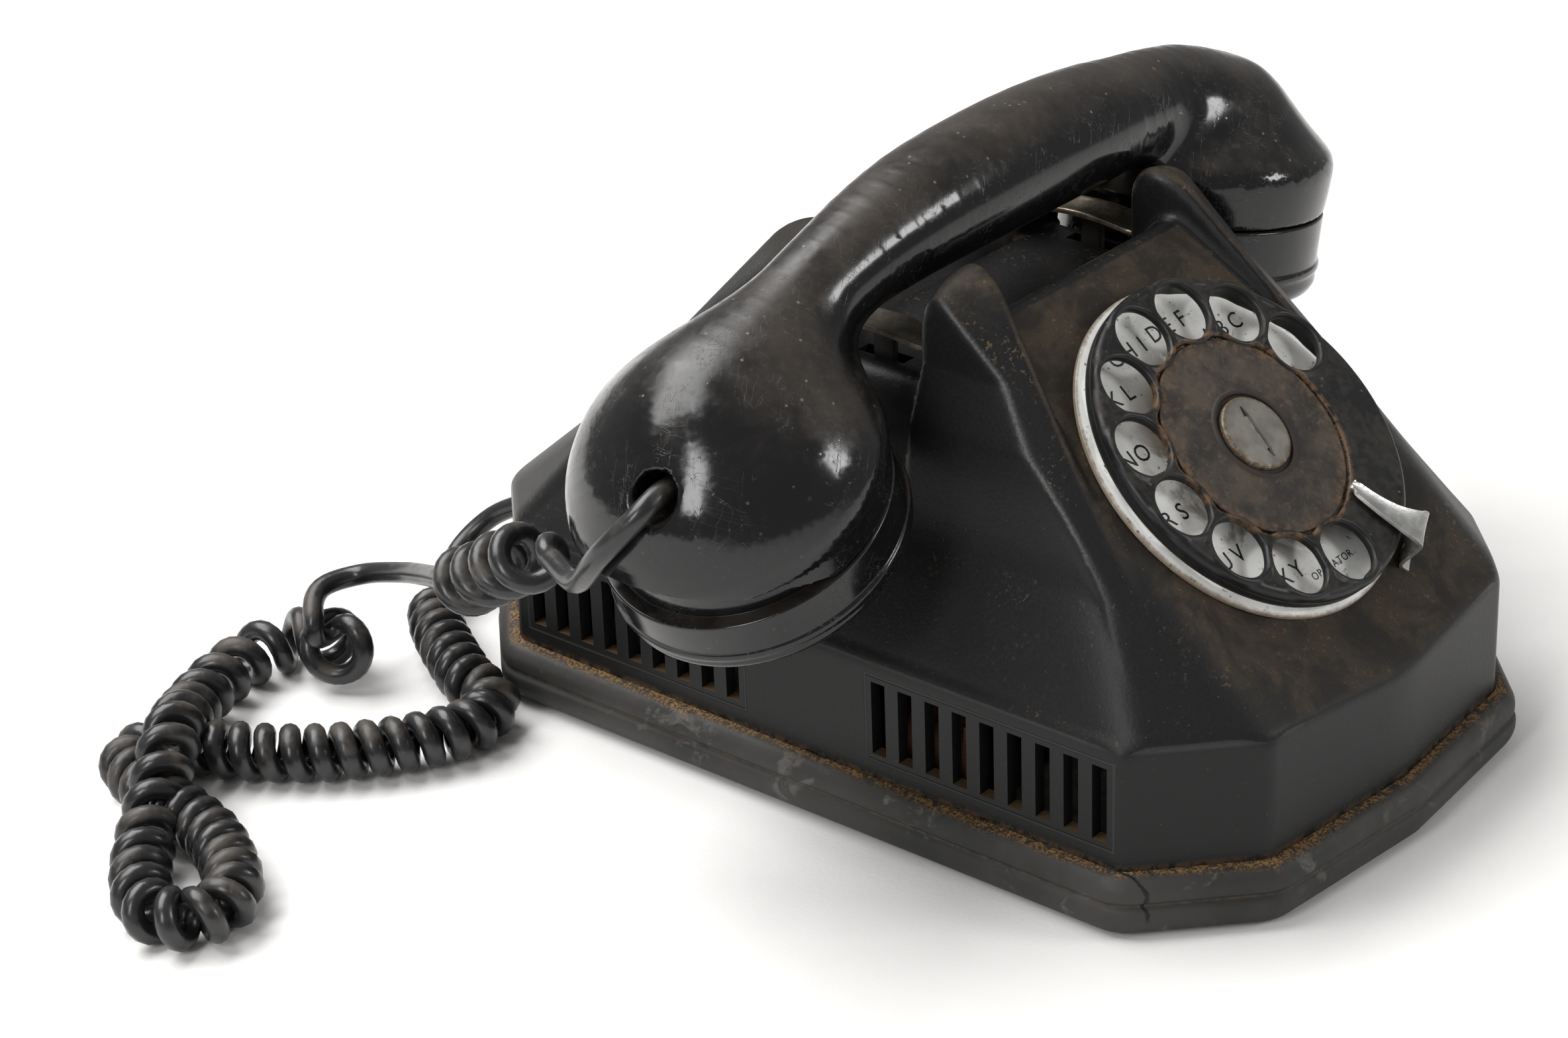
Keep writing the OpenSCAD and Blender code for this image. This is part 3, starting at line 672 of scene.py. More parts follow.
def repeatTree():
    # copies one unit along a row, round a ring, or both
    tree = bpy.data.node_groups.new("repeatUnit", "GeometryNodeTree")
    face = tree.interface
    face.new_socket("Geometry", in_out="OUTPUT", socket_type="NodeSocketGeometry")
    wanted = {
        "Unit": "Object", "Count": "Int", "Start": "Vector", "Step": "Vector",
        "Radius": "Float", "First Angle": "Float", "Angle Step": "Float", "Material": "Material",
    }
    for name, kind in wanted.items():
        face.new_socket(name, in_out="INPUT", socket_type="NodeSocket" + kind)
    made, link = tree.nodes.new, tree.links.new
    given, index = made("NodeGroupInput"), made("GeometryNodeInputIndex")

    def calc(operation, a, b, kind="ShaderNodeMath"):
        node = made(kind)
        node.operation = operation
        link(a, node.inputs[0])
        if b is not None:
            link(b, node.inputs["Scale" if operation == "SCALE" else 1])
        return node.outputs[0]

    turned = calc("MULTIPLY", index.outputs[0], given.outputs["Angle Step"])
    angle = calc("ADD", turned, given.outputs["First Angle"])
    onRing, turn = made("ShaderNodeCombineXYZ"), made("ShaderNodeCombineXYZ")
    link(calc("MULTIPLY", calc("COSINE", angle, None), given.outputs["Radius"]), onRing.inputs[0])
    link(calc("MULTIPLY", calc("SINE", angle, None), given.outputs["Radius"]), onRing.inputs[1])
    link(angle, turn.inputs[2])
    vectors = "ShaderNodeVectorMath"
    along = calc("SCALE", given.outputs["Step"], index.outputs[0], vectors)
    place = calc("ADD", calc("ADD", given.outputs["Start"], along, vectors), onRing.outputs[0], vectors)
    points, unit = made("GeometryNodePoints"), made("GeometryNodeObjectInfo")
    copies = made("GeometryNodeInstanceOnPoints")
    real, finish = made("GeometryNodeRealizeInstances"), made("GeometryNodeSetMaterial")
    out = made("NodeGroupOutput")
    link(given.outputs["Count"], points.inputs["Count"])
    link(place, points.inputs["Position"])
    link(given.outputs["Unit"], unit.inputs["Object"])
    link(points.outputs[0], copies.inputs["Points"])
    link(unit.outputs["Geometry"], copies.inputs["Instance"])
    link(turn.outputs[0], copies.inputs["Rotation"])
    link(copies.outputs[0], real.inputs[0])
    link(real.outputs[0], finish.inputs["Geometry"])
    link(given.outputs["Material"], finish.inputs["Material"])
    link(finish.outputs[0], out.inputs[0])
    return tree


unitCopies = repeatTree()


def repeated(name, unit, material, place=None, keepUnit=False, **values):
    # values: count, start, step, radius in millimetres, firstAngle and angleStep in degrees
    holder = bpy.data.objects.new(name, bpy.data.meshes.new(name))
    scene.collection.objects.link(holder)
    made = holder.modifiers.new("copies", "NODES")
    made.node_group = unitCopies
    items = unitCopies.interface.items_tree
    socket = {item.name: item.identifier for item in items if item.in_out == "INPUT"}
    made[socket["Unit"]] = unit
    made[socket["Count"]] = values.get("count", 1)
    made[socket["Start"]] = [c * mm for c in values.get("start", (0, 0, 0))]
    made[socket["Step"]] = [c * mm for c in values.get("step", (0, 0, 0))]
    made[socket["Radius"]] = values.get("radius", 0.0) * mm
    made[socket["First Angle"]] = math.radians(values.get("firstAngle", 0.0))
    made[socket["Angle Step"]] = math.radians(values.get("angleStep", 0.0))
    made[socket["Material"]] = material
    settle(holder)
    if place is not None:
        m = Matrix(place)
        m.translation *= mm
        holder.data.transform(m)
    if not keepUnit:
        discard(unit)
    return holder


def block(name, low, high):
    (a, b, c), (d, e, f) = low, high
    points = [(a, b, c), (d, b, c), (d, e, c), (a, e, c), (a, b, f), (d, b, f), (d, e, f), (a, e, f)]
    faces = [[3, 2, 1, 0], [4, 5, 6, 7], [0, 1, 5, 4], [1, 2, 6, 5], [2, 3, 7, 6], [3, 0, 4, 7]]
    return meshPiece(name, points, faces, False)


# housing

housingSet = {
    "sideX": 65.0, "wallTop": 42.0, "browY": 23.5, "browZ": 109.8, "topX": 38.9,
    "frontCorner": (65, -80, 43, -101), "rearCorner": (65, 83, 46, 102), "frontY": -105.0, "rearY": 106.0,
    "bottom": 5.0, "wall": 3.0,
    "wallRound": 1.3, "slopeRound": 4.0, "rimRound": 1.5, "browRound": 5.0,
    "cornerSlope": (0.541, 0.554, 0.631), "cornerOffset": (105.8, 107.6),
    "earTop": 119.2, "earInner": 27.5, "earOuter": 42.8, "earRear": 14.5, "earRound": 6.0, "ridgeRound": 1.2,
    "earSpread": (31.8, 27.6, 0.343),
    "recess": [(64.2, 44), (56, 58), (49, 70), (45, 84), (43, 96), (42.5, 125)],
    "recessEnds": [(-79, 43), (-64, 64.4), (-55.7, 74.5), (-33.3, 101.2), (-22, 116.7), (-22, 130)],
    "valley": [(-23.5, 130), (-23.5, 110), (-14, 95), (14, 95), (23.5, 110), (23.5, 130)],
    "dialHole": 37.5, "dialPlace": (0, -66.8, 81.3), "dialTilt": 41.3,
    "net": 1.0, "keep": 0.33, "room": ((-68, -108, 2), (68, 109, 121)),
    "slots": 9, "slotPitch": 7.0, "slotWide": 3.6, "slotLow": 19.5, "slotHigh": 36.5,
    "slotStarts": (-75.2, 20.6),
    # a raised frame round each row of slots, this far beyond them lengthwise and upright
    "frameBeyond": (1.6, 1.5),
    # where the hook's leaves pass: distance from the middle, width, length
    "leafSlot": (36, 3.6, 12),
    "rearBores": {"across": 30, "y": 106, "z": 24, "radius": 6, "from": -14, "to": 12},
}
receiverSet = {"place": (73, 0, 93), "tilt": 10.0, "capRoom": 30.9, "capLow": -19.0}
transmitterSet = {"place": (-82, 0, 79), "tilt": -27.0}


def dialFrame(s):
    t = math.radians(s["dialTilt"])
    m = Matrix.Rotation(t, 4, "X")
    m.translation = Vector(s["dialPlace"])
    return m


onDial = dialFrame(housingSet)


def dialDistances(p):
    m = np.array(onDial)
    q = (p - m[:3, 3]) @ m[:3, :3]
    return np.hypot(q[:, 0], q[:, 1]), q


def housingPlanes(s):
    x, zTop, tx, by, bz = s["sideX"], s["wallTop"], s["topX"], s["browY"], s["browZ"]
    walls, slopes, corners = [], [], {}
    for side in (-1, 1):
        walls.append((np.array((side, 0, 0.0)), x))
        slopes.append(planeThrough((side * x, -80, zTop), (side * x, 80, zTop), (side * tx, 0, bz)))
        for end, key in ((-1, "frontCorner"), (1, "rearCorner")):
            ax, ay, bx, byy = s[key]
            walls.append(planeThrough((side * ax, ay, zTop), (side * bx, byy, zTop), (side * bx, byy, 0)))
            middle = s["frontY"] if end < 0 else s["rearY"]
            walls.append(planeThrough((side * bx, byy, zTop), (0, middle, zTop), (0, middle, 0)))
            n = np.array(s["cornerSlope"]) * (side, end, 1)
            plane = n / np.linalg.norm(n), s["cornerOffset"][end > 0] / np.linalg.norm(n)
            corners[side, end] = plane
            slopes.append(plane)
    for end, key in ((-1, "frontCorner"), (1, "rearCorner")):
        _, _, bx, byy = s[key]
        slopes.append(planeThrough((bx, byy, zTop), (-bx, byy, zTop), (0, end * by, bz)))
    return walls, slopes, corners


def housingField(s):
    walls, slopes, corners = housingPlanes(s)
    recess = smoothCurve(s["recess"], 4)
    recess = np.vstack([recess, [(100, 125), (100, 44)]])
    ends = s["recessEnds"]
    ends = ends + [(-y, z) for y, z in reversed(ends)]
    receiver = tiltAbout(receiverSet["place"], receiverSet["tilt"])

    def capRoom(p):
        # the space that the receiver's cap sweeps on its way up
        result = np.full(len(p), 60.0)
        near = p[:, 0] > 30
        q = p[near]
        if len(q):
            best = np.full(len(q), 60.0)
            for lift in range(0, 61, 5):
                w = q - receiver[0] - (0, 0, lift)
                h = w @ receiver[2]
                r = np.sqrt(np.maximum((w * w).sum(1) - h * h, 0))
                along = np.maximum(receiverSet["capLow"] - h, h - 1)
                best = np.minimum(best, np.maximum(r - receiverSet["capRoom"], along))
            result[near] = best
        return result

    def ear(p, side, end):
        n, offset = corners[side, end]
        face = p @ n - offset + np.clip((76 - p[:, 2]) * 0.08, 0, 2)
        y, x = p[:, 1] * end, p[:, 0] * side
        crown = softMax(softMax(face, p[:, 2] - s["earTop"], s["earRound"]), s["earRear"] - y, 8.0)
        sideN, sideOffset = slopes[0 if side < 0 else 3]
        inner = s["earInner"] - x
        # the ear's side dies away into the scoop
        sink = np.clip((88 - p[:, 2]) * 0.25, 0, 12)
        sx, sy, rate = s["earSpread"]
        spread = (sx - x + rate * (y - sy)) / math.hypot(1, rate)
        body = softMax(crown, softMax(inner, spread, 3.0), 3.0)
        body = softMax(body, np.minimum(p @ sideN - sideOffset + sink, x - s["earOuter"]), s["ridgeRound"])
        return np.maximum(body, 50 - p[:, 2])

    def field(p):
        upright, sloping = allInside(p, walls, s["wallRound"]), allInside(p, slopes, s["slopeRound"])
        shell = softMax(upright, sloping, s["rimRound"])
        shell = softMax(shell, p[:, 2] - s["browZ"], 3.0)
        across = outlineField(recess, np.abs(p[:, 0]), p[:, 2])
        scoop = np.maximum(across, outlineField(ends, p[:, 1], p[:, 2]))
        valley = outlineField(s["valley"], p[:, 1], p[:, 2])
        shell = softMax(shell, -scoop, 4.5)
        shell = softMax(shell, -valley, s["browRound"])
        for side in (-1, 1):
            for end in (-1, 1):
                shell = softMin(shell, ear(p, side, end), 2.0)
        room = capRoom(p)
        shell = np.maximum(shell, -room)
        hollow = allInside(p, [(n, o - s["wall"]) for n, o in walls + slopes], 0.5)
        hollow = np.maximum(hollow, np.maximum(s["wall"] - scoop, s["wall"] - valley))
        hollow = np.maximum(hollow, 2.0 - room)
        shell = np.maximum(shell, -hollow)
        r, q = dialDistances(p)
        shell = np.maximum(shell, -np.maximum(r - s["dialHole"], q[:, 2] - 10))
        return np.maximum(shell, s["bottom"] - p[:, 2])

    return field


def wallDistance(paint):
    # how far outside the line of the housing's walls a place is
    s = housingSet
    x, y, _ = paint.axes(paint.spot)
    across = x.size()
    result = across - s["sideX"] * mm
    for end, key in ((-1, "frontCorner"), (1, "rearCorner")):
        ax, ay, bx, by = (abs(c) for c in s[key])
        middle = abs(s["frontY"] if end < 0 else s["rearY"])
        for (px, py), (qx, qy) in (((ax, ay), (bx, by)), ((bx, by), (0, middle))):
            nx, ny = qy - py, px - qx
            size = math.hypot(nx, ny)
            offset = (nx * px + ny * py) / size * mm
            result = result.atLeast(across * (nx / size) + y * (end * ny / size) - offset)
    return result


def housingPaint():
    s = housingSet
    paint = Paint("housingBakelite", rough=0.4, specular=0.27)
    _, y, z = paint.axes(paint.spot)
    nx, ny, nz = paint.axes(paint.normal)
    toDial = paint.distance(tuple(c * mm for c in s["dialPlace"]))
    broad = paint.cloud(24.0, 5.0, 0.62)
    patch = paint.cloud(70.0, 5.0, 0.68, 0.5)
    fine = paint.cloud(300.0, 4.0, 0.7)
    grain = paint.cloud(1500.0, 2.0)
    upward = nz.step(0.35, 0.7)
    flat = 1.0 - nx.size().step(0.12, 0.42)
    nearDial = 1.0 - toDial.step(0.044, 0.08)
    front = (-ny).step(0.35, 0.6) * upward
    film = broad * 0.42 + patch * 0.35 + fine * 0.23
    film = (film + front * flat * (0.12 + z * 1.6) + nearDial * flat * 0.05).step(0.52, 0.86)
    film = film * (0.12 + 0.88 * upward) * (0.35 + 0.65 * flat)
    crown = z.step(0.108, 0.118) * nz.step(0.3, 0.8)
    film = (film + crown * (0.35 + fine.step(0.35, 0.6) * 0.65)).atMost(1.0)
    clumps = patch.step(0.47, 0.64)
    bits = paint.cloud(850.0, 3.0, 0.75).step(0.585, 0.65)
    speck = (bits * clumps + paint.dots(1000.0, 0.1, 0.24) * 0.5) * upward
    dull = paint.dots(900.0, 0.04, 0.2) * 0.35
    crumbs = paint.dots(200.0, 0.05, 0.16) * front * clumps
    foot = (1.0 - z.step(0.0134, 0.0156)) * fine.step(0.4, 0.58)
    sill = (1.0 - (z - s["slotLow"] * mm).size().step(0.0001, 0.0006)) * nz.step(0.6, 0.9)
    grit = (foot + sill * 0.9).atMost(1.0)
    # painted highlight: the ears' outer ridges are painted a lighter grey where light glints on them; they
    # are also made less rough
    ridgeHighlight = nx.size().step(0.62, 0.72) * (1.0 - nx.size().step(0.88, 0.96))
    ridgeHighlight = ridgeHighlight * ny.size().step(0.14, 0.2) * z.step(0.06, 0.078)
    # painted highlight: the rim where the walls meet the slopes is painted a lighter grey and made less
    # rough
    rim = nz.step(0.04, 0.14) * (1.0 - nz.step(0.3, 0.37))
    rim = rim * (1.0 - (z - s["wallTop"] * mm).size().step(0.001, 0.002))
    # thin frame lines round each row of slots: pressed in by the bump, and painted a lighter grey as a
    # painted highlight
    border = None
    halfRow = (s["slots"] - 1) * s["slotPitch"] / 2
    halfLong = halfRow + s["slotWide"] / 2 + s["frameBeyond"][0]
    halfHigh = (s["slotHigh"] - s["slotLow"]) / 2 + s["frameBeyond"][1]
    for start in s["slotStarts"]:
        length = (y - (start + halfRow) * mm).size() - halfLong * mm
        height = (z - (s["slotLow"] + s["slotHigh"]) / 2 * mm).size() - halfHigh * mm
        line = 1.0 - length.atLeast(height).size().step(0.0001, 0.00045)
        border = line if border is None else border.atLeast(line)
    border = border * nx.size().step(0.9, 0.98)
    base = paint.blend(grain, (0.006, 0.006, 0.0063), (0.011, 0.0105, 0.0105))
    dust = paint.blend(patch.step(0.4, 0.6), (0.02, 0.0155, 0.011), (0.048, 0.036, 0.023))
    base = paint.blend(film * 0.85, base, dust)
    # painted highlight: ridges, rim and slot frame lines lightened towards pale grey
    base = paint.blend((ridgeHighlight * 0.45 + rim * 0.5 + border * 0.35).atMost(1.0), base, (0.05, 0.05, 0.05))
    base = paint.blend((speck * 0.6 + dull).atMost(1.0), base, (0.15, 0.095, 0.05))
    base = paint.blend(crumbs.atMost(1.0), base, (0.2, 0.1, 0.035))
    base = paint.blend(grit * 0.75 * (0.4 + grain * 0.6), base, (0.13, 0.075, 0.03))
    paint.wear(
        colour=base,
        rough=0.38 + film * 0.3 + grain * 0.1 + grit * 0.3 - (ridgeHighlight + rim) * 0.12,
        bump=paint.relief(fine * 0.25 + grain * 0.5 + speck * 0.5 + grit * 1.2 - border * 1.6, 0.0002, 0.55),
    )
    return paint.material


def makeHousing(s):
    low, high = s["room"]
    piece = mouldedForm("housingShell", housingField(s), low, high, s["net"])
    modifier(piece, "DECIMATE", ratio=s["keep"])
    settle(piece)
    print("  housing formed:", len(piece.data.polygons))
    beyond, half = s["sideX"] + 15, s["slotWide"] / 2
    unit = block("slotCutter", (-beyond, -half, s["slotLow"]), (beyond, half, s["slotHigh"]))
    pitch = (0, s["slotPitch"], 0)
    rows = [
        repeated("slotRow", unit, None, keepUnit=True, count=s["slots"], start=(0, start, 0), step=pitch)
        for start in s["slotStarts"]
    ]
    discard(unit)
    leafX, wide, long = s["leafSlot"]
    leafSlots = [
        block("leafSlot", (x - wide / 2, -long / 2, 80), (x + wide / 2, long / 2, 130))
        for x in (-leafX, leafX)
    ]
    cutAway(piece, joined("slotCutters", rows + leafSlots))
    rear = s["rearBores"]
    radius, start, end = rear["radius"], rear["from"], rear["to"]
    outline = [(0, start), (radius, start), (radius, end), (0, end)]
    lengthwise = Matrix.Rotation(math.pi / 2, 4, "X")
    bores = [
        lathe("bore", outline, Matrix.Translation((x, rear["y"], rear["z"])) @ lengthwise, 32)
        for x in (-rear["across"], rear["across"])
    ]
    cutAway(piece, joined("bores", bores))
    piece.data.materials.clear()
    piece.data.materials.append(housingPaint())
    piece.data.polygons.foreach_set("use_smooth", [True] * len(piece.data.polygons))
    piece.data.set_sharp_from_angle(angle=math.radians(38))
    modifier(piece, "WEIGHTED_NORMAL", keep_sharp=True, weight=80)
    settle(piece)
    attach(piece, "base")
    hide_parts("housing")
    print("housing:", len(piece.data.polygons), "faces")


makeHousing(housingSet)


# rubber skirt

skirtSet = {
    "footprint": [
        (65, -80), (65, 83), (46, 102), (0, 106), (-46, 102),
        (-65, 83), (-65, -80), (-43, -101), (0, -105), (43, -101),
    ],
    "cornerRound": 6.0, "arc": 6,
    # distance outside the wall, height
    "section": [
        (-2.2, 0.0, 0.4), (0.6, 0.0, 0.8), (3.6, 1.6, 2.0), (4.9, 4.6, 1.5), (4.9, 7.0, 0.8),
        (3.9, 7.9, 0.4), (3.9, 8.4, 0.4), (4.6, 9.0, 0.7), (4.5, 11.4, 1.0), (2.9, 13.7, 1.0),
        (0.05, 14.0, 0.3), (0.05, 3.0, 0), (-2.2, 3.0, 0.3),
    ],
    "crackAt": (-64.8, -85.0),
}


def skirtPaint():
    paint = Paint("skirtRubber", rough=0.6, specular=0.4)
    x, y, z = paint.axes(paint.spot)
    nx, ny, nz = paint.axes(paint.normal)
    broad = paint.cloud(35.0, 4.0, 0.6)
    fine = paint.cloud(420.0, 4.0, 0.65)
    grain = paint.cloud(1700.0, 2.0, 0.7)
    scuff = paint.cloud(110.0, 5.0, 0.7, 0.6)
    top = z.step(0.0112, 0.0124) * nz.step(0.2, 0.6)
    outside = wallDistance(paint)
    joint = 1.0 - (outside + (broad - 0.5) * 0.004).step(0.001, 0.0033)
    grit = top * (joint * fine.step(0.36, 0.5) + scuff.step(0.6, 0.7) * 0.25).atMost(1.0)
    groove = (1.0 - (z - 0.0081).size().step(0.0001, 0.0006)) * fine.step(0.4, 0.6)
    pale = scuff.step(0.57, 0.68) * (1.0 - x.step(-0.05, 0.02) * 0.4)
    pale = pale * (ny * -1.0 + nx * -0.6).step(-0.2, 0.6)
    crackX, crackY = (c * mm for c in skirtSet["crackAt"])
    crackLine = (x - crackX + (fine - 0.5) * 0.0012).size()
    crack = (1.0 - crackLine.step(0.0001, 0.0004)) * (1.0 - (y - crackY).size().step(0.006, 0.007))
    crack = crack * z.step(0.004, 0.006)
    base = paint.blend(broad.step(0.3, 0.7), (0.017, 0.017, 0.0165), (0.036, 0.034, 0.031))
    base = paint.blend(pale * 0.6, base, (0.12, 0.12, 0.11))
    base = paint.blend(groove * 0.5, base, (0.09, 0.06, 0.035))
    rust = paint.blend(grain.step(0.4, 0.62), (0.04, 0.022, 0.01), (0.27, 0.155, 0.06))
    base = paint.blend(grit * 0.9, base, rust)
    base = paint.blend(crack, base, (0.002, 0.002, 0.002))
    paint.wear(
        colour=base,
        rough=0.5 + fine * 0.2 + grit * 0.2,
        bump=paint.relief(fine * 0.4 + scuff * 0.4 + grit * grain * 1.4 - crack * 4.0, 0.0003, 0.6),
    )
    return paint.material


def makeSkirt(s):
    corners = np.array(s["footprint"], float)
    section = roundedProfile(s["section"], 0.5, 3)
    loops, count = [], len(corners)
    for out, height in section:
        loop = []
        for k in range(count):
            before, here, after = corners[k - 1], corners[k], corners[(k + 1) % count]
            e1, e2 = (here - before), (after - here)
            e1, e2 = e1 / np.linalg.norm(e1), e2 / np.linalg.norm(e2)
            n1, n2 = np.array((e1[1], -e1[0])), np.array((e2[1], -e2[0]))
            turn = math.atan2(e1[0] * e2[1] - e1[1] * e2[0], e1 @ e2)
            bisector = (n1 + n2) / np.linalg.norm(n1 + n2)
            centre = here - bisector * s["cornerRound"] / math.cos(turn / 2)
            start = math.atan2(n1[1], n1[0])
            for j in range(s["arc"] + 1):
                a = start + turn * j / s["arc"]
                spot = centre + (s["cornerRound"] + out) * np.array((math.cos(a), math.sin(a)))
                loop.append((*spot, height))
        loops.append(loop)
    size = len(loops[0])
    faces = []
    for k in range(len(loops)):
        n = (k + 1) % len(loops)
        for j in range(size):
            m = (j + 1) % size
            faces.append([k * size + j, k * size + m, n * size + m, n * size + j])
    piece = meshPiece("rubberSkirt", np.array(loops).reshape(-1, 3), faces, True, skirtPaint())
    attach(piece, "base")
    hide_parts("base_skirt")
    print("skirt:", len(faces), "faces")


makeSkirt(skirtSet)


# handset

handsetSet = {
    "line": [
        (-89, 0, 101), (-76, 0, 108.5), (-63, 0, 114.5), (-50, 0, 118.5), (-35, 0, 121.3), (-18, 0, 122.8),
        (8, 0, 123.3), (30, 0, 122.6), (45, 0, 121.6), (58, 0, 120.8), (68, 0, 118), (76, 0, 112.5),
    ],
    "radii": [13, 11.5, 10.8, 11.2, 12.6, 13.8, 14.2, 13.7, 12.5, 11.4, 11, 11.5],
    # share of the radius at which the underside is flat, along x
    "flat": [(-75, 1.3), (-60, 1.0), (-48, 0.7), (48, 0.68), (58, 0.95), (66, 1.3)],
    "flatRound": 3.0,
    "transmitterBell": [
        (-30, 0, 0), (31.5, 0, 1.2), (31.6, 7.2, 0.8), (33.3, 8.2, 1.4), (33.5, 12, 3),
        (31.5, 18, 4), (27, 25, 5), (20, 31, 6),
        (11, 35.5, 6), (0, 37.5, 3), (-30, 37.5, 0),
    ],
    "receiverBell": [
        (-30, 0, 0), (29.8, 0, 1.2), (30.6, 6, 3), (31, 12, 3), (24, 19, 6), (17, 27, 5), (12, 30.5, 4),
        (0, 31.5, 2), (-30, 31.5, 0),
    ],
    "transmitterRoom": [(-30, -1), (28.5, -1), (28.5, 12), (20, 21), (-30, 25)],
    "receiverRoom": [(-30, -1), (27, -1), (27, 11), (15, 21), (-30, 24)],
    "transmitterBlend": 12.0, "receiverBlend": 9.0,
    "holeAt": (-98, -5, 94.7), "holeRadius": 4.7, "holeRound": 1.6,
    "net": 1.1, "room": ((-119, -36, 75), (107, 36, 139)),
    # chips in the black: place, size
    "chips": [((21.0, -9.5, 131.5), 1.1), ((52.0, -11.2, 122.5), 0.8), ((57.0, -11.0, 117.5), 1.2)],
}


def handsetField(s):
    line, radii = smoothCurve(s["line"], 3), smoothCurve([(r, 0) for r in s["radii"]], 3)[:, 0]
    transmitter = tiltAbout(transmitterSet["place"], transmitterSet["tilt"])
    receiver = tiltAbout(receiverSet["place"], receiverSet["tilt"])
    bells = [roundedProfile(s[key], 1.0, 5) for key in ("transmitterBell", "receiverBell")]
    flatX, flatShare = np.array(s["flat"]).T
    hole = np.array(s["holeAt"], float)

    def field(p):
        handle = np.full(len(p), 1e9)
        for k in range(len(line) - 1):
            e = line[k + 1] - line[k]
            w = p - line[k]
            t = np.clip(w @ e / (e @ e), 0, 1)
            w = w - t[:, None] * e
            handle = np.minimum(handle, np.sqrt((w * w).sum(1)) - radii[k] - t * (radii[k + 1] - radii[k]))
        middle = np.interp(p[:, 0], line[:, 0], line[:, 2])
        radius = np.interp(p[:, 0], line[:, 0], radii) * np.interp(p[:, 0], flatX, flatShare)
        handle = softMax(handle, middle - p[:, 2] - radius, s["flatRound"])
        whole = softMin(handle, turnedField(p, transmitter, bells[0]), s["transmitterBlend"])
        whole = softMin(whole, turnedField(p, receiver, bells[1]), s["receiverBlend"])
        # nothing below the two seams
        for bell in (transmitter, receiver):
            below = -((p - bell[0]) @ bell[2])
            whole = np.maximum(whole, np.where(np.abs(p[:, 0] - bell[0][0]) < 45, below, -60))
        whole = np.maximum(whole, -turnedField(p, transmitter, s["transmitterRoom"]))
        whole = np.maximum(whole, -turnedField(p, receiver, s["receiverRoom"]))
        w = p - hole
        bore = np.maximum(np.hypot(w[:, 1], w[:, 2]) - s["holeRadius"], w[:, 0])
        return softMax(whole, -bore, s["holeRound"])

    return field


def handsetPaint(name, chips=()):
    paint = Paint(name, rough=0.2, coat=0.0, specular=0.5)
    _, _, nz = paint.axes(paint.normal)
    broad = paint.cloud(26.0, 4.0, 0.55)
    cloudy = paint.cloud(75.0, 5.0, 0.65, 0.4)
    fine = paint.cloud(420.0, 4.0, 0.7)
    upward = nz.step(0.15, 0.95)
    dust = (broad * 0.5 + cloudy * 0.38 + upward * 0.38 + fine * 0.12).step(0.66, 1.04)
    marks = paint.scratches(480.0, 16.0, (0.3, 0.5, 0.7), 0.006)
    marks = marks + paint.scratches(420.0, 14.0, (0.9, 0.2, -0.8), 0.005)
    marks = marks.atMost(1.0) * cloudy.step(0.45, 0.6)
    speck = paint.dots(520.0, 0.1, 0.22) * (upward * 0.8 + 0.2)
    rust = paint.dots(260.0, 0.06, 0.16) * upward
    film = paint.blend(broad, (0.036, 0.033, 0.031), (0.05, 0.036, 0.024))
    base = paint.blend(dust * 0.85, (0.0045, 0.0045, 0.005), film)
    base = paint.blend(marks * 0.35, base, (0.09, 0.085, 0.08))
    base = paint.blend(speck * 0.6, base, (0.22, 0.2, 0.17))
    base = paint.blend(rust * 0.6, base, (0.16, 0.09, 0.04))
    flaws = None
    for place, size in chips:
        away = paint.distance(tuple(c * mm for c in place)) + (paint.cloud(900.0, 2.0) - 0.5) * 0.0022
        spot = 1.0 - away.step(size * 0.75 * mm, size * mm)
        flaws = spot if flaws is None else flaws.atLeast(spot)
    if flaws:
        base = paint.blend(flaws, base, (0.55, 0.5, 0.4))
    paint.wear(
        colour=base,
        rough=0.13 + dust * 0.36 + fine.step(0.5, 0.8) * 0.12 + marks * 0.2,
        bump=paint.relief(fine * 0.1 - marks * 0.35 + speck * 0.5 + cloudy * 0.12, 0.00012, 0.5),
    )
    return paint.material


def bellFrame(bell):
    m = Matrix.Rotation(math.radians(bell["tilt"]), 4, "Y")
    m.translation = Vector(bell["place"])
    return m


capSet = {
    # outline of the cap, radius and height below the seam; then the sound holes
    "transmitterCap": [
        (0, -12.4, 0), (23, -12.6, 2), (27.5, -14, 1.6), (30.6, -13.7, 1.4), (31.9, -11.6, 0.8),
        (31.7, -10.3, 0.4), (32.3, -9.6, 0.5), (32.2, -8.6, 0.4), (31.6, -8.0, 0.3), (31.4, -0.25, 0.6),
        (28.3, -0.25, 0.1), (28.3, 5.5, 0.2), (26.8, 5.5, 0.2), (26.8, -9.6, 0), (0, -9.6, 0),
    ],
    "receiverCap": [
        (0, -16.4, 0), (21, -16.6, 2), (25.5, -18, 1.6), (28.6, -17.7, 1.4), (29.8, -15.4, 0.8),
        (29.5, -13.2, 0.4), (30.2, -12.5, 0.5), (30.1, -11.4, 0.4), (29.6, -10.8, 0.3), (29.9, -0.25, 0.6),
        (26.8, -0.25, 0.1), (26.8, 5.5, 0.2), (25.2, 5.5, 0.2), (25.2, -13.6, 0), (0, -13.6, 0),
    ],
    "soundHole": 1.3, "rings": 3, "ringStep": 5.0,
}


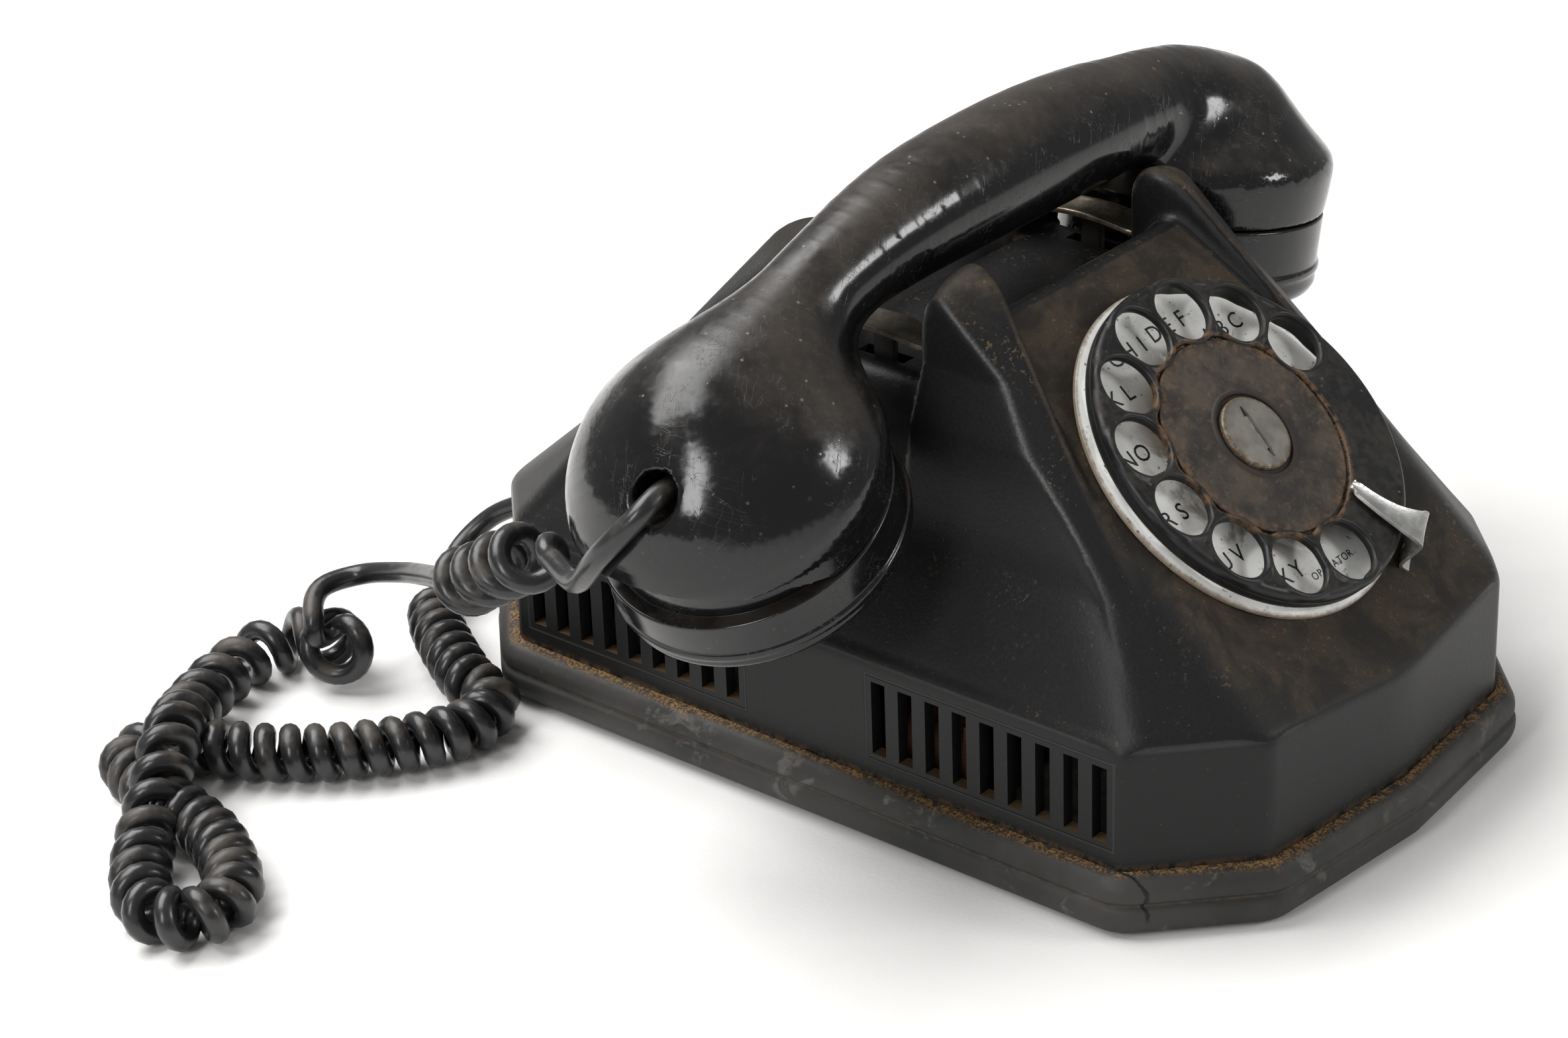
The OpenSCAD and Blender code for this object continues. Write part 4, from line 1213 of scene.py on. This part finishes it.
def makeCap(name, bell, outline, node, s):
    place = bellFrame(bell)
    piece = lathe(name, roundedProfile(outline, 0.5, 4), place, 128)
    low = outline[0][1]
    radius, start, end = s["soundHole"], low - 3, low + 5
    unit = lathe("soundBore", [(0, start), (radius, start), (radius, end), (0, end)], None, 16)
    rings = [
        repeated(
            "soundRing", unit, None, place, True,
            count=max(1, 6 * k), radius=s["ringStep"] * k, angleStep=60.0 / max(k, 1),
        )
        for k in range(s["rings"])
    ]
    discard(unit)
    cutAway(piece, joined("soundBores", rings))
    piece.data.materials.clear()
    piece.data.materials.append(handsetPaint(name + "Bakelite"))
    piece.data.set_sharp_from_angle(angle=math.radians(40))
    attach(piece, "handset")
    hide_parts(node)


def makeHandset(s):
    field = handsetField(s)
    low, high = s["room"]
    paint = handsetPaint("handsetBakelite", s["chips"])
    piece = mouldedForm("handsetHandle", field, low, high, s["net"], paint)
    exactNormals(piece, field)
    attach(piece, "handset")
    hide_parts("handset_handle")
    makeCap("transmitterCap", transmitterSet, capSet["transmitterCap"], "transmitter_cap", capSet)
    makeCap("receiverCap", receiverSet, capSet["receiverCap"], "receiver_cap", capSet)
    print("handset:", len(piece.data.polygons), "faces")


makeHandset(handsetSet)


# dial

dialSet = {
    "wheelRadius": 38.1, "wheelThick": 1.8, "rimDeep": 4.6, "rimThick": 1.7,
    "holes": 10, "holeRing": 30.2, "holeRadius": 6.5, "firstHole": 23.4, "holeStep": 27.56,
    "lip": 0.45, "cardRoom": 23.7, "cardDeep": 1.0,
    "net": 0.42, "wheelRoom": ((-39.5, -39.5, -5.8), (39.5, 39.5, 1.6)),
    "cardRadius": 22.9, "hubRadius": 8.5, "slotAngle": 85.0,
    # the worn slot: its length and its width at even steps along it
    "slotLong": 12.4, "slotWidths": (0.35, 0.75, 0.85, 0.6, 0.95, 0.8, 0.3),
    "plateRadius": 39.3, "plateTop": -5.7, "plateLow": -6.9,
    "letters": ["", "ABC", "DEF", "GHI", "JKL", "MNO", "PRS", "TUV", "WXY", "OPERATOR"],
    "letterHigh": 5.4, "letterStep": 4.7, "smallHigh": 2.4, "smallStep": 1.8,
}


def wheelPaint():
    paint = Paint("wheelEnamel", rough=0.42, specular=0.35)
    broad = paint.cloud(60.0, 4.0, 0.6)
    fine = paint.cloud(500.0, 4.0, 0.65)
    nz = paint.axes(paint.normal)[2]
    face = nz.step(0.55, 0.72)
    film = (broad * 0.55 + fine * 0.45 + face * 0.08).step(0.5, 0.72)
    toCard = paint.distance(tuple(onDial.translation * mm))
    ringDirt = 1.0 - (toCard - 0.0238).size().step(0.0002, 0.0011)
    speck = paint.dots(650.0, 0.1, 0.24)
    base = paint.blend(film * 0.5 * face, (0.006, 0.006, 0.0063), (0.04, 0.032, 0.024))
    base = paint.blend(speck * 0.6 * face, base, (0.14, 0.1, 0.065))
    base = paint.blend(ringDirt * fine.step(0.35, 0.6) * 0.9, base, (0.11, 0.06, 0.028))
    paint.wear(
        colour=base, rough=0.34 + film * 0.28 + fine * 0.1,
        bump=paint.relief(fine * 0.5 + speck * 0.7, 0.0001, 0.5),
    )
    return paint.material


def platePaint():
    paint = Paint("plateEnamel", rough=0.35, coat=0.25)
    away = paint.distance(tuple((onDial @ Vector((0, 0, dialSet["plateTop"]))) * mm))
    smudge = paint.cloud(70.0, 5.0, 0.65, 0.5)
    fine = paint.cloud(480.0, 4.0, 0.7)
    edge = (away + (fine - 0.5) * 0.0012).step(0.0383, 0.0393)
    inner = 1.0 - (away + (smudge - 0.5) * 0.012).step(0.0215, 0.029)
    speck = paint.dots(620.0, 0.12, 0.24) + fine.step(0.62, 0.68) * 0.7
    base = paint.blend(smudge.step(0.42, 0.75), (0.93, 0.93, 0.9), (0.66, 0.65, 0.6))
    base = paint.blend(inner * smudge.step(0.4, 0.55) * 0.85, base, (0.2, 0.15, 0.1))
    base = paint.blend(speck.atMost(1.0) * 0.85, base, (0.12, 0.08, 0.05))
    base = paint.blend(edge * 0.9, base, (0.13, 0.085, 0.04))
    paint.wear(
        colour=base, rough=0.3 + smudge * 0.3,
        bump=paint.relief(fine * 0.2 + speck - edge * 0.5, 0.0001, 0.4),
    )
    return paint.material


def cardPaint():
    paint = Paint("rustedCard", rough=0.72)
    broad = paint.cloud(90.0, 5.0, 0.65)
    fine = paint.cloud(600.0, 4.0, 0.7)
    away = paint.distance(tuple(onDial.translation * mm))
    edge = away.step(0.0195, 0.0228)
    ring = 1.0 - (away - 0.0098).size().step(0.0003, 0.0013)
    base = paint.blend(broad.step(0.38, 0.64), (0.012, 0.0095, 0.0075), (0.056, 0.041, 0.029))
    base = paint.blend(fine.step(0.52, 0.7) * 0.45, base, (0.12, 0.085, 0.055))
    base = paint.blend(ring * 0.8, base, (0.014, 0.009, 0.006))
    base = paint.blend(edge * fine.step(0.4, 0.6) * 0.7, base, (0.12, 0.065, 0.03))
    paint.wear(colour=base, rough=0.55 + fine * 0.3, bump=paint.relief(fine + broad * 0.6, 0.00022, 0.7))
    return paint.material


def wornMetal(name, dark, light, rough=0.35, metal=0.9, rust=0.0, perMetre=160.0, brushed=0.0):
    # plain metal with tarnish, fine grain and some rust
    paint = Paint(name, rough=rough, metal=metal)
    tone = paint.cloud(perMetre, 4.0, 0.6)
    grain = paint.cloud(1400.0, 3.0, 0.6, 0.0, paint.moved(scale=(1.0, 1.0 + brushed * 20.0, 1.0)))
    base = paint.blend(tone.step(0.35, 0.65), dark, light)
    spot = (tone * 0.5 + grain * 0.5).step(0.53, 0.62) * rust
    base = paint.blend(spot, base, (0.12, 0.06, 0.03))
    paint.wear(
        colour=base, rough=rough + grain * 0.18 + spot * 0.3, metal=metal - spot * metal * 0.8,
        bump=paint.relief(grain, 0.00008, 0.35),
    )
    return paint.material


def hubPaint():
    paint = Paint("hubMetal", rough=0.5, metal=0.5)
    centre = tuple(onDial.translation * mm)
    away = paint.distance(centre)
    fine = paint.cloud(700.0, 4.0, 0.65)
    rings = paint.calcRings(away)
    tone = paint.cloud(180.0, 4.0)
    edge = away.step(0.0072, 0.0084)
    base = paint.blend(tone.step(0.35, 0.65), (0.15, 0.145, 0.125), (0.23, 0.22, 0.19))
    base = paint.blend(rings * 0.35, base, (0.09, 0.085, 0.08))
    base = paint.blend(edge * fine.step(0.4, 0.55), base, (0.12, 0.075, 0.04))
    paint.wear(
        colour=base, rough=0.42 + fine * 0.25,
        bump=paint.relief(rings * 0.5 + fine * 0.4, 0.00008, 0.5),
    )
    return paint.material


def wheelField(s):
    def field(p):
        r = np.hypot(p[:, 0], p[:, 1])
        z = p[:, 2]
        outer = softMax(r - s["wheelRadius"], z, 2.2)
        disc = softMax(outer, -z - s["wheelThick"], 0.6)
        rim = softMax(softMax(outer, -z - s["rimDeep"], 1.0), s["wheelRadius"] - s["rimThick"] - r, 0.5)
        disc = softMin(disc, rim, 0.8)
        disc = softMin(disc, np.maximum(np.maximum(r - 8, z + 0.2), -z - s["rimDeep"]), 0.3)
        disc = softMax(disc, -np.maximum(r - s["cardRoom"], -z - s["cardDeep"]), 0.8)
        for k in range(s["holes"]):
            a = math.radians(s["firstHole"] + k * s["holeStep"])
            w = np.hypot(p[:, 0] - s["holeRing"] * math.cos(a), p[:, 1] - s["holeRing"] * math.sin(a))
            bead = np.hypot(w - s["holeRadius"] - 0.75, z + 0.5) - 0.5 - s["lip"] * 0.6
            disc = softMin(disc, bead, 0.8)
            disc = softMax(disc, -(w - s["holeRadius"]), 1.0)
        return np.maximum(disc, 4.05 - r)

    return field


def inPlace(piece, place, shift=(0, 0, 0)):
    # moves a finished mesh, given in millimetres round the origin, to its place
    m = place @ Matrix.Translation(Vector(shift))
    m.translation *= mm
    piece.data.transform(m)
    return piece


def letterMesh(name, text, size, material):
    curve = bpy.data.curves.new(name, "FONT")
    curve.body, curve.size, curve.extrude = text, size * mm, 0.03 * mm
    curve.align_x, curve.align_y = "CENTER", "CENTER"
    curve.resolution_u = 3
    holder = bpy.data.objects.new(name, curve)
    scene.collection.objects.link(holder)
    bpy.context.view_layer.update()
    graph = bpy.context.evaluated_depsgraph_get()
    mesh = bpy.data.meshes.new_from_object(holder.evaluated_get(graph), depsgraph=graph)
    discard(holder)
    piece = bpy.data.objects.new(name, mesh)
    scene.collection.objects.link(piece)
    mesh.materials.clear()
    mesh.materials.append(material)
    return piece


def makeDial(s):
    field = wheelField(s)
    low, high = s["wheelRoom"]
    wheel = mouldedForm("fingerWheel", field, low, high, s["net"], wheelPaint(), 1)
    exactNormals(wheel, field)
    inPlace(wheel, onDial)
    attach(wheel, "dial_rotor")
    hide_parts("finger_wheel")

    low, top, outer = s["plateLow"], s["plateTop"], s["plateRadius"]
    plate = lathe(
        "numberPlate",
        roundedProfile([(9, low, 0.1), (outer, low, 0.3), (outer, top, 0.7), (9, top, 0.3)], 0.3),
        onDial, 160, platePaint(),
    )
    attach(plate, "base")
    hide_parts("number_plate")

    ink = Paint("letterInk", rough=0.5)
    faded = ink.cloud(600.0, 4.0, 0.7)
    ink.wear(
        colour=ink.blend(faded.step(0.5, 0.72), (0.012, 0.012, 0.012), (0.12, 0.11, 0.1)),
        rough=0.4 + faded * 0.2,
    )
    marks = []
    for k, word in enumerate(s["letters"]):
        a = math.radians(s["firstHole"] + k * s["holeStep"])
        small = len(word) > 3
        size, step = (s["smallHigh"], s["smallStep"]) if small else (s["letterHigh"], s["letterStep"])
        for n, sign in enumerate(word):
            along = (n - (len(word) - 1) / 2) * step
            place = (s["holeRing"] * math.cos(a) + along, s["holeRing"] * math.sin(a) - 0.3, top + 0.03)
            marks.append(inPlace(letterMesh("mark", sign, size, ink.material), onDial, place))
    letters = joined("dialLetters", marks, ink.material)
    letters.data.polygons.foreach_set("use_smooth", [False] * len(letters.data.polygons))
    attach(letters, "base")

    card = lathe(
        "cardDisc",
        roundedProfile([
            (4.05, -0.95, 0), (s["cardRadius"], -0.95, 0.2), (s["cardRadius"], -0.25, 0.3), (10.6, 0.1, 0.5),
            (10.2, 0.55, 0.3), (9.5, 0.5, 0.3), (9.3, -0.25, 0.2), (4.05, -0.25, 0),
        ], 0.3),
        onDial, 128, cardPaint(),
    )
    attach(card, "dial_rotor")
    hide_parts("card_disc")

    hub = lathe("wheelHub", roundedProfile([
        (0, -0.2, 0), (s["hubRadius"], -0.2, 0.2), (s["hubRadius"] - 0.1, 0.9, 0.5),
        (s["hubRadius"] - 0.8, 1.15, 0.4), (0, 1.25, 0),
    ], 0.3), onDial, 96)
    slotWidths = s["slotWidths"]
    ends = [s["slotLong"] * (k / (len(slotWidths) - 1) - 0.5) for k in range(len(slotWidths))]
    outline = [(x, -w * 0.9) for x, w in zip(ends, slotWidths)]
    outline += [(x, w * 0.7 + 0.2 * (k % 2)) for k, (x, w) in enumerate(zip(ends, slotWidths))][::-1]
    count = len(outline)
    points = [(x, y, 0.3) for x, y in outline] + [(x, y, 3.0) for x, y in outline]
    faces = [list(range(count))[::-1], list(range(count, 2 * count))]
    faces += [[k, (k + 1) % count, count + (k + 1) % count, count + k] for k in range(count)]
    turned = onDial @ Matrix.Rotation(math.radians(s["slotAngle"]), 4, "Z")
    cutter = meshPiece("hubSlot", placed(points, turned), faces, False)
    cutAway(hub, cutter)
    hub.data.materials.clear()
    hub.data.materials.append(hubPaint())
    hub.data.set_sharp_from_angle(angle=math.radians(35))
    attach(hub, "dial_rotor")
    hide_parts("wheel_hub")
    print("dial:", len(wheel.data.polygons), "faces in the wheel,", len(marks), "letters")


stopSet = {
    "angle": -59.0,
    # along the arm: distance from the dial's centre, sideways centre, half width, height of the middle
    "stations": [
        (23.2, 0.6, 0.9, 1.95), (24.2, 0.4, 1.5, 1.9), (27, 0.0, 1.75, 1.85), (31, -0.4, 2.2, 1.85),
        (35, -0.4, 2.9, 1.9), (38.5, -0.1, 3.9, 2.0), (41.0, 0.1, 4.7, 2.1), (41.9, 0.1, 4.75, 1.7),
        (42.2, 0.1, 4.75, 0.4), (42.2, 0.1, 4.7, -2.5), (42.2, 0.1, 4.6, -5.6), (42.8, 0.1, 4.6, -6.3),
        (44.2, 0.1, 4.5, -6.35),
    ],
    "dish": 0.3, "thick": 0.8, "across": 8,
}


def makeStop(s):
    rows = smoothCurve(s["stations"], 3)
    points, faces, n = [], [], s["across"]
    for r, side, half, height in rows:
        for k in range(n + 1):
            u = k / n * 2 - 1
            bow = 0.9 * u * u * (1 if r < 40 else 0.2)
            points.append((r + bow, side + u * half, height - s["dish"] * (1 - u * u) * (r < 41)))
    for j in range(len(rows) - 1):
        for k in range(n):
            a = j * (n + 1) + k
            faces.append([a, a + n + 1, a + n + 2, a + 1])
    place = onDial @ Matrix.Rotation(math.radians(s["angle"]), 4, "Z")
    piece = meshPiece("fingerStop", placed(points, place), faces, True)
    modifier(piece, "SOLIDIFY", thickness=s["thick"] * mm, offset=-1.0)
    modifier(piece, "BEVEL", width=0.25 * mm, segments=2, limit_method="ANGLE", angle_limit=math.radians(50))
    modifier(piece, "SUBSURF", levels=1, render_levels=1)
    settle(piece)
    piece.data.materials.clear()
    stopMetal = wornMetal("stopMetal", (0.42, 0.42, 0.41), (0.6, 0.6, 0.58), 0.28, 0.95, 0.25, 220.0)
    piece.data.materials.append(stopMetal)
    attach(piece, "base")
    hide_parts("finger_stop")


makeDial(dialSet)
makeStop(stopSet)


# hook

hookSet = {
    "leafX": 36.6, "radius": 62.0, "top": 103.0, "half": 4.3, "reach": 14.9, "thick": 1.2,
    "stemX": 36.0, "stemHalf": (1.0, 2.6), "yokeLow": 82.0, "yokeHigh": 86.0, "postX": 20.0, "postHole": 2.6,
}


def hookPaint():
    paint = Paint("hookMetal", rough=0.28, metal=0.9)
    x, y, z = paint.axes(paint.spot)
    tone = paint.cloud(240.0, 4.0, 0.6)
    grain = paint.cloud(1400.0, 3.0)
    # bronze shows above 100 mm; the left leaf keeps only a quarter of it and is painted dark and dull as
    # painted shade; the parts below 100 mm are dark
    bareLessPaintedShade = z.step(0.1, 0.1012) * (0.25 + 0.75 * x.step(-0.001, 0.001))
    base = paint.blend(tone.step(0.35, 0.65), (0.24, 0.19, 0.13), (0.52, 0.46, 0.37))
    base = paint.blend((tone * 0.5 + grain * 0.5).step(0.54, 0.62) * 0.5, base, (0.12, 0.07, 0.035))
    base = paint.blend(bareLessPaintedShade, (0.025, 0.02, 0.016), base)
    paint.wear(
        colour=base, rough=0.55 - bareLessPaintedShade * 0.3 + grain * 0.12, metal=0.2 + bareLessPaintedShade * 0.7,
        bump=paint.relief(grain, 0.00008, 0.35),
    )
    return paint.material


def makeHook(s):
    parts = []
    for side in (-1, 1):
        points, faces = [], []
        rows, n = 26, 8
        for j in range(rows + 1):
            y = -s["reach"] + 2 * s["reach"] * j / rows
            z = s["top"] - s["radius"] + math.sqrt(s["radius"]**2 - y * y)
            fromEnd = s["reach"] - abs(y)
            half = s["half"] * math.sqrt(max(0.02, 1 - max(0, 1 - fromEnd / s["half"])**2))
            for k in range(n + 1):
                u = k / n * 2 - 1
                points.append((side * s["leafX"] + u * half, y, z - 0.5 * (1 - u * u)))
        for j in range(rows):
            for k in range(n):
                a = j * (n + 1) + k
                faces.append([a, a + 1, a + n + 2, a + n + 1])
        leaf = meshPiece("leaf", points, faces)
        modifier(leaf, "SOLIDIFY", thickness=s["thick"] * mm, offset=-1.0)
        sharp = math.radians(50)
        modifier(leaf, "BEVEL", width=0.2 * mm, segments=2, limit_method="ANGLE", angle_limit=sharp)
        settle(leaf)
        halfX, halfY = s["stemHalf"]
        middle, foot, head = side * s["stemX"], s["yokeLow"] + 0.5, s["top"] - 1.4
        stem = block("stem", (middle - halfX, -halfY, foot), (middle + halfX, halfY, head))
        modifier(stem, "BEVEL", width=0.4 * mm, segments=2)
        parts += [leaf, settle(stem)]
    x = s["stemX"] + 1.2
    yoke = block("yoke", (-x, -4, s["yokeLow"]), (x, 4, s["yokeHigh"]))
    unit = lathe("postHole", [(0, 70), (s["postHole"], 70), (s["postHole"], 100), (0, 100)], None, 32)
    first, pitch = (-s["postX"], 0, 0), (2 * s["postX"], 0, 0)
    cutAway(yoke, repeated("postHoles", unit, None, count=2, start=first, step=pitch))
    modifier(yoke, "BEVEL", width=0.4 * mm, segments=2, limit_method="ANGLE", angle_limit=math.radians(60))
    parts.append(settle(yoke))
    piece = joined("hookLever", parts, hookPaint())
    piece.data.set_sharp_from_angle(angle=math.radians(45))
    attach(piece, "hook")
    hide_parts("hook_lever")
    print("hook ready")


makeHook(hookSet)


# what stays as the frame made it

def rubberPaint(name, tone=0.02):
    paint = Paint(name, rough=0.55)
    fine = paint.cloud(500.0, 4.0, 0.65)
    broad = paint.cloud(80.0, 3.0)
    base = paint.blend(broad.step(0.35, 0.7), (tone, tone, tone), (tone * 2.2, tone * 2.0, tone * 1.8))
    paint.wear(colour=base, rough=0.45 + fine * 0.25, bump=paint.relief(fine, 0.0001, 0.4))
    return paint.material


def windingPaint():
    paint = Paint("coilWinding", rough=0.45, metal=0.3)
    z = paint.axes(paint.spot)[2]
    turns = (z * 9000.0).calc("SINE") * 0.5 + 0.5
    tone = paint.cloud(120.0, 3.0)
    base = paint.blend(tone, (0.06, 0.025, 0.012), (0.11, 0.05, 0.025))
    paint.wear(
        colour=paint.blend(turns * 0.4, base, (0.06, 0.02, 0.01)), rough=0.35 + tone * 0.2,
        bump=paint.relief(turns, 0.0001, 0.5),
    )
    return paint.material


finishes = {
    "steelPlate": (wornMetal("platedSteel", (0.33, 0.32, 0.29), (0.48, 0.47, 0.43), 0.4, 0.9, 0.5), [
        "base_plate", "dial_case", "dial_frame", "governor_cup", "ringer_base",
    ]),
    "screws": (wornMetal("screwSteel", (0.3, 0.29, 0.26), (0.5, 0.48, 0.44), 0.35, 0.9, 0.6, 500.0), [
        "base_screws", "dial_pillars", "dial_shaft", "finger_stop_screw", "hook_posts", "gong_posts",
        "gong_screws", "clapper_pin",
    ]),
    "brass": (wornMetal("gearBrass", (0.45, 0.3, 0.1), (0.6, 0.42, 0.16), 0.35, 0.95, 0.15), [
        "main_gear", "governor_pinion", "governor_weights", "terminal_screws", "pulse_contacts",
        "hook_contacts",
    ]),
    "spring": (wornMetal("springSteel", (0.2, 0.2, 0.22), (0.35, 0.35, 0.37), 0.3, 0.95, 0.1), [
        "mainspring", "hook_springs",
    ]),
    "iron": (wornMetal("coreIron", (0.16, 0.16, 0.16), (0.28, 0.28, 0.28), 0.45, 0.8, 0.3), [
        "ringer_cores", "clapper",
    ]),
    "gongs": (wornMetal("gongMetal", (0.4, 0.35, 0.22), (0.55, 0.5, 0.34), 0.25, 0.95, 0.1), [
        "left_gong", "right_gong",
    ]),
    "cans": (wornMetal("canMetal", (0.38, 0.38, 0.37), (0.52, 0.52, 0.5), 0.3, 0.9, 0.2), [
        "condenser", "transmitter_capsule", "receiver_capsule",
    ]),
    "winding": (windingPaint(), ["ringer_coils", "induction_coil"]),
    "block": (rubberPaint("terminalPlastic", 0.03), ["terminal_block"]),
    "grommets": (rubberPaint("grommetRubber"), ["line_cord_grommet", "handset_cord_grommet"]),
}
for material, names in finishes.values():
    for name in names:
        mesh = nodes[name].data
        mesh.materials.clear()
        mesh.materials.append(material)
print("finishes on", sum(len(names) for _, names in finishes.values()), "nodes")
